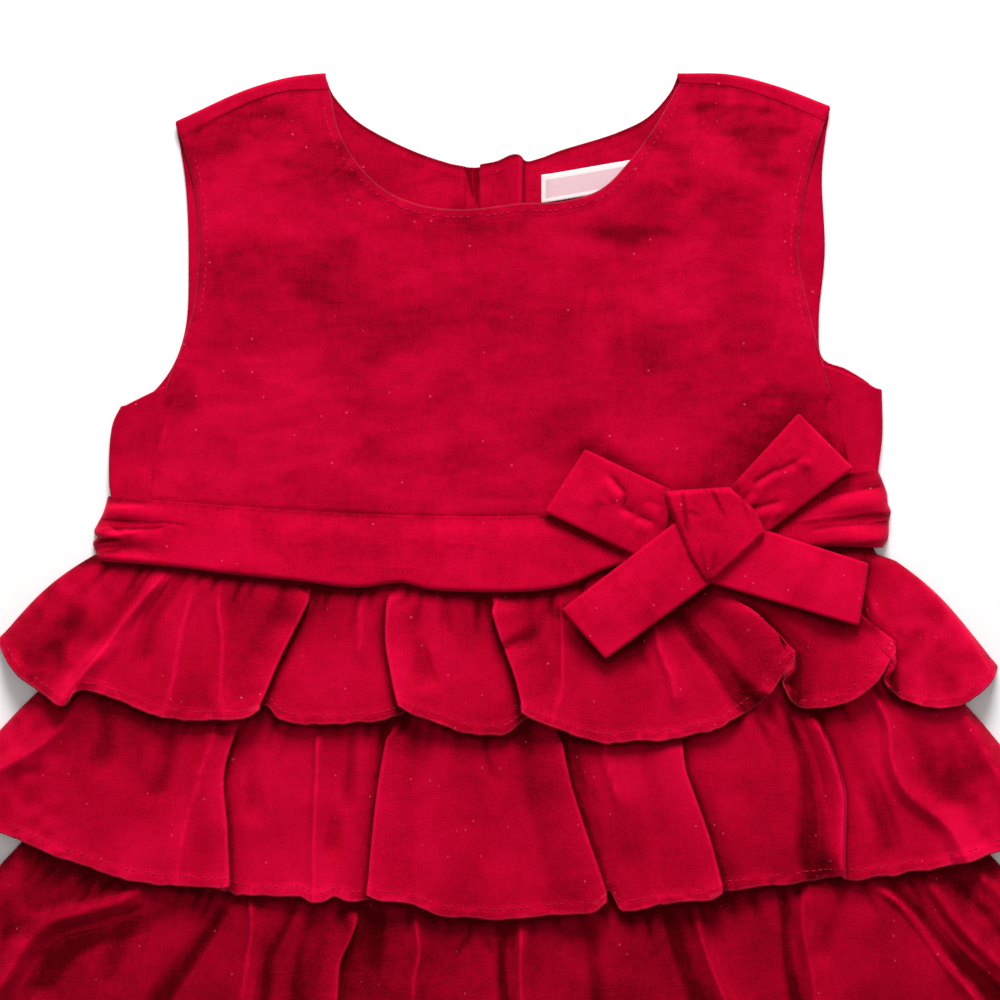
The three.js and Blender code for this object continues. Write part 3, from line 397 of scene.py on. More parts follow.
def placket_painted_shade(side, x, y):
    """Painted shadow in the slot beside the placket on the left panel, less dark along a fold's ridge in it, and
    painted shade and a painted highlight at the stitched edge of its tab on the right one.
    """
    if side > 0:
        line = 0.45 * np.exp(-((x - 8.6) / 0.7) ** 2) - 0.4 * np.exp(-((x - 7.3) / 0.5) ** 2)
        return line * ease((y - 160) / 8) + 0.08 * np.exp(-((x - 1) / 5) ** 2)
    down = np.clip((186 - y) / 12, 0, 1)
    slot = ease((mix(3.0, 0.8, down) - np.abs(x - mix(-10.3, -8.7, down))) / 0.5) * ease((y - 172.5) / 1.5)
    ridge = np.exp(-((x - mix(-10.4, -9.0, down)) / 0.4) ** 2)
    return slot * (0.75 - 0.7 * ridge)


def bodice_back(name, shape):
    fold, armhole, neck, shoulder, shoulder_seam, side_seam = (outline(rows) for rows in shape[:6])
    side = shape.side

    def radius(y):
        return (seam_height(y) - back_height(shape, shape.fold[0][0], y)) / 2

    def outer_edge(v):
        low = fold(v / UNDERARM)
        low[..., 0] -= side * radius(low[..., 1])
        high = armhole((v - UNDERARM) / (1 - UNDERARM))
        high[..., 0] -= side * radius(100.0) * ease((0.42 - v) / 0.12)
        high[..., 1] -= radius(200.0) * ease((v - 0.9) / 0.1)
        return np.where((v <= UNDERARM)[..., None], low, high)

    def top_edge(w):
        low = neck(w / NECK_SHARE)
        low[..., 1] -= radius(200.0) * ease((w / NECK_SHARE - 0.8) / 0.2)
        high = shoulder((w - NECK_SHARE) / (1 - NECK_SHARE))
        high[..., 1] -= radius(200.0)
        return np.where((w <= NECK_SHARE)[..., None], low, high)

    corner_out = outer_edge(np.array(0.0))
    corner_high, corner_far = top_edge(np.array(0.0)), top_edge(np.array(1.0))

    def on_table(w, v):
        w, v = np.broadcast_arrays(w, v)
        bottom = np.stack([mix(shape.edge, corner_out[0], w), np.full(w.shape, float(WAIST_Y))], axis=-1)
        middle = np.stack([np.full(w.shape, float(shape.edge)), mix(WAIST_Y, corner_high[1], v)], axis=-1)
        a, b = w[..., None], v[..., None]
        low, low_out = np.array([shape.edge, WAIST_Y]), np.array([corner_out[0], WAIST_Y])
        p = (bottom * (1 - b) + top_edge(w) * b + middle * (1 - a) + outer_edge(v) * a
             - low * (1 - a) * (1 - b) - low_out * a * (1 - b) - corner_high * (1 - a) * b - corner_far * a * b)
        z = back_height(shape, p[..., 0], p[..., 1])
        calm = ease(np.minimum(1 - w, 1 - v) / 0.1)
        z = z + calm * 0.5 * (1 + rumple(p[..., 0], p[..., 1], 17, 5))
        z = z + 0.7 * ease((w - 0.8) / 0.1) * ease((v - 0.4) / 0.06) * ease((0.97 - v) / 0.05)
        if side < 0:
            z = z + beside_slot(p[..., 0], p[..., 1])
        return np.dstack([p, z]) if p.ndim == 3 else np.concatenate([p, z[..., None]], axis=-1)

    def turned(start, out, seam, share):
        """Half a circle up from the flat part, then flat along to the seam."""
        r = radius(start[..., 1])
        angle = np.pi * (np.minimum(share, 0.6) / 0.6 - 0.5)
        arc = start + np.array(out) * (r * np.cos(angle))[..., None]
        arc[..., 2] = start[..., 2] + r + r * np.sin(angle)
        return mix(arc, seam, np.clip((share - 0.6) / 0.4, 0, 1)[..., None])

    across = np.unique(np.concatenate([np.linspace(0, 0.16, 44), np.linspace(0.16, 1, 80), [NECK_SHARE]]))
    up = np.unique(np.concatenate([np.linspace(0, 0.88, 72), np.linspace(0.88, 1, 34), [UNDERARM]]))
    turn = np.linspace(0, 1, 14)
    way = 1 if side > 0 else -1
    w, v = np.meshgrid(across, up)
    made = Cloth()
    flat = on_table(w, v)
    # Painted shade along the rolled edge of the back's neckline, and the upper part of the back a little darker.
    back_neck_shade = 0.35 * ease((v - 0.988) / 0.01) * (w < NECK_SHARE) + 0.08 * ease((v - 0.8) / 0.1)
    shade = placket_painted_shade(side, flat[..., 0], flat[..., 1]) + back_neck_shade
    made.patch(flat[:, ::way], thick=np.where(v > 0.97, 0.8, CLOTH)[:, ::way], nap=shade[:, ::way])
    w, v = np.meshgrid(turn, up[up <= UNDERARM])
    seam = side_seam(v / UNDERARM)
    seam = np.dstack([seam, seam_height(seam[..., 1])])
    over = turned(on_table(np.ones_like(v), v), (side, 0, 0), seam, w)
    over[..., 1] += shape.bulge * np.sin(np.pi * w) ** 0.8 * (v / UNDERARM) ** 5
    made.patch(over[:, ::way], thread=over[:, ::way, 1::-1] * (1, 1))
    w, v = np.meshgrid(across[across >= NECK_SHARE], turn)
    seam = shoulder_seam((w - NECK_SHARE) / (1 - NECK_SHARE))
    seam = np.dstack([seam, np.full(w.shape, SEAM_Z)])
    over = turned(on_table(w, np.ones_like(w)), (0, 1, 0), seam, v)
    made.patch(over[:, ::way])
    return made.piece(name, BODICE_SATIN)


back_left = bodice_back("bodice_back_left", LEFT_BACK)
back_right = bodice_back("bodice_back_right", RIGHT_BACK)

# Buttons: three pressed discs of dyed polyester under the placket. They keep their solids and get
# the slightly cloudy gloss of dyed plastic.
gloss = bpy.data.materials.new("dyed_button")
gloss.use_nodes = True
cloud = node(gloss.node_tree, "ShaderNodeTexNoise", {"Scale": 400.0, "Detail": 3.0})
tint = node(gloss.node_tree, "ShaderNodeValToRGB", {0: cloud.outputs["Fac"]})
tint.color_ramp.elements[0].color = (0.22, 0.002, 0.012, 1)
tint.color_ramp.elements[1].color = (0.36, 0.004, 0.024, 1)
skin = gloss.node_tree.nodes["Principled BSDF"]
gloss.node_tree.links.new(tint.outputs[0], skin.inputs["Base Color"])
skin.inputs["Roughness"].default_value = 0.32
skin.inputs["Coat Weight"].default_value = 0.3
for k in range(3):
    button = bpy.data.objects[f"button_{k + 1}"]
    button.data.materials.clear()
    button.data.materials.append(gloss)

# Neck label: a bare tab of woven white tape with a pale pink band, sewn inside the right back panel
# below the neckline. Its lower end goes down behind the front.
LABEL = namedtuple("Label", "left right top height tilt")(15.3, 50, 183.5, 10, 0.17)
LABEL_THICK = 0.5


def woven_tape():
    material = bpy.data.materials.new("label_tape")
    material.use_nodes = True
    tree = material.node_tree
    surface = tree.nodes["Principled BSDF"]
    thread = node(tree, "ShaderNodeAttribute", attribute_name="thread").outputs["Vector"]
    down = node(tree, "ShaderNodeSeparateXYZ", {0: thread}).outputs["Y"]
    scaled = node(tree, "ShaderNodeVectorMath", {0: thread, 1: (5200, 3800, 1)}, operation="MULTIPLY").outputs[0]
    weave = node(tree, "ShaderNodeTexNoise", {"Vector": scaled, "Scale": 1.0, "Detail": 1.0}).outputs["Fac"]
    band = node(tree, "ShaderNodeMapRange", {0: down, 1: 0.0084, 2: 0.0080, 3: 0.0, 4: 1.0}).outputs[0]
    ends = node(tree, "ShaderNodeMapRange", {0: down, 1: 0.0012, 2: 0.0016, 3: 0.0, 4: 1.0}).outputs[0]
    across = node(tree, "ShaderNodeSeparateXYZ", {0: thread}).outputs["X"]
    border = node(tree, "ShaderNodeMapRange", {0: across, 1: 0.0163, 2: 0.0170, 3: 0.0, 4: 1.0}).outputs[0]
    inside = sums(tree, "MULTIPLY", sums(tree, "MULTIPLY", band, ends), border)
    worn = sums(tree, "ADD", sums(tree, "MULTIPLY", weave, 0.9), 0.35, clamp=True)
    colour = node(tree, "ShaderNodeMix", data_type="RGBA")
    tree.links.new(sums(tree, "MULTIPLY", inside, worn), colour.inputs["Factor"])
    colour.inputs["A"].default_value = (0.82, 0.72, 0.73, 1)
    colour.inputs["B"].default_value = (0.64, 0.38, 0.43, 1)
    tree.links.new(colour.outputs["Result"], surface.inputs["Base Color"])
    bump = node(tree, "ShaderNodeBump", {"Height": weave, "Strength": 0.6, "Distance": 0.0001})
    tree.links.new(bump.outputs[0], surface.inputs["Normal"])
    rough = node(tree, "ShaderNodeMapRange", {0: weave, 1: 0.0, 2: 1.0, 3: 0.6, 4: 0.8})
    tree.links.new(rough.outputs[0], surface.inputs["Roughness"])
    return material


u, v = np.meshgrid(np.linspace(0, 1, 60), np.linspace(0, 1, 20))
x = mix(LABEL.left, LABEL.right, u)
y = LABEL.top + LABEL.tilt * (x - LABEL.left) - LABEL.height * (1 - v)
z = back_height(RIGHT_BACK, x, y) + 1.9 + 0.25 * np.sin(x / 5) + 0.9 * ease(1 - u / 0.12) * v
label = Cloth().patch(np.dstack([x, y, z]), thread=np.dstack([x, v * LABEL.height]), thick=LABEL_THICK)
label = label.piece("neck_label", woven_tape(), "label_tape")

# Bodice front: one panel of the satin, sewn to the turned-over edges of the back. Its neckline and
# armholes are turned under and stitched, and its pile has been pressed into lighter and darker patches.
FRONT_LEFT = [(-127, WAIST_Y), (-127.4, 68), (-126.4, 84), (-121.9, 106.4), (-116.5, 121), (-112.2, 135),
              (-110.3, 155), (-111.4, 176), (-116.8, 197.7)]
FRONT_RIGHT = [(129.4, WAIST_Y), (128, 75.7), (123.6, 95), (118.4, 113.6), (112.4, 137), (109.2, 154),
               (112.1, 179.5), (118.7, 203.3)]
FRONT_NECK = [(-62.6, 214.8), (-59, 199.5), (-52.4, 187.8), (-42.2, 178), (-29.5, 172.5), (-14, 170.7), (8, 173),
              (22.6, 173.6), (36.8, 178), (47.3, 188.2), (57.9, 203.1), (65.9, 217.4)]
SHOULDER_SHARE = 0.21
CROWN_Z = 2.7
# Patches where the pile lies dark, and at 86, 84 painted shade beside the bow's right loop: x, y, half width, half
# height, turn in degrees, how dark.
DARK_PATCHES = [
    (-95, 200, 17, 7, 20, 0.30), (-66, 187, 12, 11, -30, 0.34), (-98, 150, 22, 9, 10, 0.22),
    (-62, 146, 12, 14, 30, 0.26), (82, 205, 14, 5, -12, 0.34), (96, 196, 15, 8, -40, 0.4),
    (88, 165, 13, 20, -10, 0.28), (46, 163, 17, 4, -3, 0.42), (-16, 164, 22, 5, 0, 0.26), (62, 193, 9, 4, -30, 0.3),
    (62, 178, 10, 4, 10, 0.22), (-40, 128, 26, 10, 15, 0.16), (10, 128, 16, 12, 0, 0.14),
    (-118, 105, 6, 9, 30, 0.25), (-60, 96, 26, 7, -12, 0.16), (102, 92, 13, 12, 35, 0.30),
    (20, 92, 26, 6, 8, 0.16), (-100, 118, 10, 12, 0, 0.12), (-22, 78, 32, 5, 2, 0.12),
    (60, 120, 18, 9, 20, 0.18), (90, 132, 9, 16, 0, 0.16), (86, 84, 17, 6, 45, 0.26), (119, 84, 5, 10, 25, 0.26),
    (50, 74, 15, 4, -30, 0.2), (30, 84, 8, 5, 30, 0.2),
]


# Patches where it lies light: x, y, half width, half height, how light.
LIGHT_PATCHES = [(-92, 90, 40, 24, 0.2), (72, 146, 16, 26, 0.1), (-102, 172, 9, 22, 0.1), (4, 150, 18, 10, 0.08)]
# Creases, each painted as a light line with painted shade beside it, or dark where how light is less than 0: from x, y
# to x, y, how light.
TENSION_LINES = [
    ((-119, 104), (-125, 82), 0.30), ((-124, 92), (-131, 62), 0.26), ((-131, 76), (-134, 58), 0.14),
    ((124, 112), (119, 96), 0.26), ((121, 92), (126, 66), 0.3), ((126.7, 87), (128.3, 74), 0.5),
    ((134.5, 89), (130, 75.5), -0.6), ((136, 92), (131, 64), 0.3), ((129, 90), (129.6, 76), -0.4),
    ((-52, 190), (-66, 178), 0.16), ((-46, 182), (-62, 168), 0.12), ((48, 190), (66, 176), 0.14), ((-8, 170), (6, 158), 0.08),
    ((70, 206), (88, 190), 0.14), ((-84, 206), (-70, 196), 0.12), ((104, 150), (100, 120), 0.1), ((-104, 160), (-98, 126), 0.1),
]


def dark_patches(x, y):
    total = np.zeros_like(x)
    for px, py, half_x, half_y, turn, depth in DARK_PATCHES:
        c, s = np.cos(np.radians(turn)), np.sin(np.radians(turn))
        a = ((x - px) * c + (y - py) * s) / half_x + 0.5 * rumple(x, y * 1.8, 11, 31)
        b = (-(x - px) * s + (y - py) * c) / half_y + 0.6 * rumple(x * 0.7, y * 2, 8, 32)
        total = np.maximum(total, 1.05 * depth * ease(1.5 - np.sqrt(a * a + b * b)))
    for px, py, half_x, half_y, light in LIGHT_PATCHES:
        reach = np.hypot((x - px) / half_x, (y - py) / half_y) + 0.3 * rumple(x, y * 1.8, 9, 43)
        total = total - light * ease(1.4 - reach)
    streak = 0.78 + 0.3 * rumple(x * 0.5, y * 1.8, 5, 36) + 0.22 * rumple(x * 0.5, y * 1.5, 2.2, 37)
    return total * streak + 0.04 * rumple(x * 0.4, y * 1.6, 3, 39) + 0.09 * rumple(x, y, 27, 40)


def creases(lines, x, y, width=0.45):
    """Fine creases, a light line where light is more than 0 with a darker band beside it: painted highlight and painted
    shade, which the loops also use for their dents.
    """
    total = np.zeros_like(x)
    for (x0, y0), (x1, y1), light in lines:
        length = np.hypot(x1 - x0, y1 - y0)
        along = ((x - x0) * (x1 - x0) + (y - y0) * (y1 - y0)) / length
        away = ((x - x0) * (y1 - y0) - (y - y0) * (x1 - x0)) / length + 0.8 * rumple(along, x * 0, 5, 35)
        line = np.exp(-(away / width) ** 2) - 0.7 * np.exp(-((away - 2.6 * width) / (1.8 * width)) ** 2)
        total -= light * line * ease(along / 3) * ease((length - along) / 3)
    return total


def beside(lines, x, y, reach):
    """1 along a set of straight lines, falling to 0 at about reach from them."""
    near = np.full_like(x, 99.0)
    for (x0, y0), (x1, y1) in lines:
        share = np.clip(((x - x0) * (x1 - x0) + (y - y0) * (y1 - y0)) / ((x1 - x0) ** 2 + (y1 - y0) ** 2), 0, 1)
        near = np.minimum(near, np.hypot(x - mix(x0, x1, share), y - mix(y0, y1, share)))
    return np.exp(-(near / reach) ** 2)


# Lines beside the bow's edges, where painted shade lies on the bodice.
BOW_SHADE_LINES = [((85, 70), (107.7, 95.5)), ((108, 95), (126, 78)), ((61, 68), (31.7, 83)), ((60, 68), (84, 70))]


def edge_distance(places, edge):
    """How far each point is from a line of points, in mm."""
    flat = places.reshape(-1, 3)[:, :2]
    nearest = np.full(len(flat), 99.0)
    for start in range(0, len(edge), 60):
        part = edge[start:start + 60, :2]
        gap = np.linalg.norm(flat[:, None] - part[None], axis=2).min(axis=1)
        nearest = np.minimum(nearest, gap)
    return nearest.reshape(places.shape[:2])


left_edge, right_edge, neck_edge = outline(FRONT_LEFT), outline(FRONT_RIGHT), outline(FRONT_NECK)
left_shoulder = outline(LEFT_BACK.shoulder_seam[::-1])
right_shoulder = outline(RIGHT_BACK.shoulder_seam)


def front_top(u):
    left = left_shoulder(u / SHOULDER_SHARE)
    right = right_shoulder((u - 1 + SHOULDER_SHARE) / SHOULDER_SHARE)
    neck = neck_edge((u - SHOULDER_SHARE) / (1 - 2 * SHOULDER_SHARE))
    return np.where((u < SHOULDER_SHARE)[..., None], left,
                    np.where((u > 1 - SHOULDER_SHARE)[..., None], right, neck))


u, v = np.meshgrid(np.unique(np.append(np.linspace(0.001, 0.999, 190), [SHOULDER_SHARE, 1 - SHOULDER_SHARE])),
                   np.append(np.linspace(0.002, 0.94, 100), np.linspace(0.95, 0.998, 14)))
a, b = u[..., None], v[..., None]
low_left, low_right = left_edge(0.0), right_edge(0.0)
straight = mix(mix(low_left, low_right, a), front_top(u), b)
at_left = mix(low_left, front_top(np.zeros_like(u)), b)
at_right = mix(low_right, front_top(np.ones_like(u)), b)
flat = straight + (left_edge(v) - at_left) * (1 - a) + (right_edge(v) - at_right) * a
x, y = flat[..., 0], flat[..., 1]
from_shoulder = np.hypot(214 - y, np.maximum(0, 62 - np.abs(x)))
crown = np.sqrt(4 * u * (1 - u)) * ease(from_shoulder / 34) * ease((y - 60) / 26)
calm = ease(np.minimum(np.minimum(u, 1 - u) * 12, (y - 62) / 20))
at_armhole = ease((y - 108) / 12) * ease((197 - y) / 10) * ease(1 - np.minimum(u, 1 - u) * 22)
z = seam_height(y) + CROWN_Z * crown - 0.85 * at_armhole
z = z + calm * (0.55 * rumple(x, y, 31, 7) + 0.28 * rumple(x, y, 13, 8) + 0.12 * rumple(x, y, 6, 9))
front = np.dstack([x, y, z])
columns = slice(np.searchsorted(u[0], SHOULDER_SHARE), np.searchsorted(u[0], 1 - SHOULDER_SHARE) + 1)
finished = [front[-1, columns], front[v[:, 0] > 0.35, 0], front[v[:, 0] > 0.35, -1]]
edge = edge_distance(front, np.vstack(finished))
thick = mix(0.75, CLOTH, ease((edge - 2.6) / 0.6)) - 0.16 * np.exp(-((edge - 2.9) / 0.4) ** 2)
shade_above_sash = np.exp(-((y - height_at(SASH_TOP, x) - 0.6) / 0.9) ** 2)
from_seam = edge_distance(front, np.vstack([front[-1, :columns.start], front[-1, columns.stop:]]))
at_seam = 0.3 * np.exp(-(from_seam / 0.9) ** 2) + 0.16 * rumple(x * 3, y * 0.6, 6, 38) * ease(1 - from_seam / 9)
# Painted shade above the sash, along the shoulder seams, round the bow and along the finished edges, and painted
# highlights and shade along the creases, with the pile's own patches.
front_shade = dark_patches(x, y) + creases(TENSION_LINES, x, y) + 0.28 * shade_above_sash + at_seam
front_shade = front_shade + 0.26 * beside(BOW_SHADE_LINES, x, y, 4.5) + 0.3 * np.exp(-(edge / 0.6) ** 2)
bodice_front = Cloth().patch(front, thick=thick, nap=front_shade, edge=edge)
bodice_front = bodice_front.piece("bodice_front", BODICE_SATIN)

# Underskirt: a plain front and back of lining-weight cloth, that the ruffles are sewn on to.
UNDERSKIRT = [(51.7, -134.5, 130), (13, -141, 140), (-50, -158, 158), (-117, -171, 171), (-180, -190, 190)]
UNDERSKIRT_SAG = 24
LINING = brushed_satin("underskirt_cloth", (0.22, 0.0008, 0.014), (0.30, 0.001, 0.02), (0.36, 0.002, 0.026), 0.8, 0.15)
for name, height in (("underskirt_back", 3.35), ("underskirt_front", 4.75)):
    u, v = np.meshgrid(np.linspace(0, 1, 70), np.linspace(0, 1, 60))
    left = outline([(row[1], row[0]) for row in UNDERSKIRT])(1 - v)
    right = outline([(row[2], row[0]) for row in UNDERSKIRT])(1 - v)
    p = mix(left, right, u[..., None])
    y = p[..., 1] - UNDERSKIRT_SAG * (1 - (2 * u - 1) ** 2) * (1 - v)
    z = height + 0.15 * rumple(p[..., 0], y, 24, 41)
    layer = Cloth().patch(np.dstack([p[..., 0], y, z]), thick=0.4)
    layer.piece(name, LINING, "underskirt_cloth")

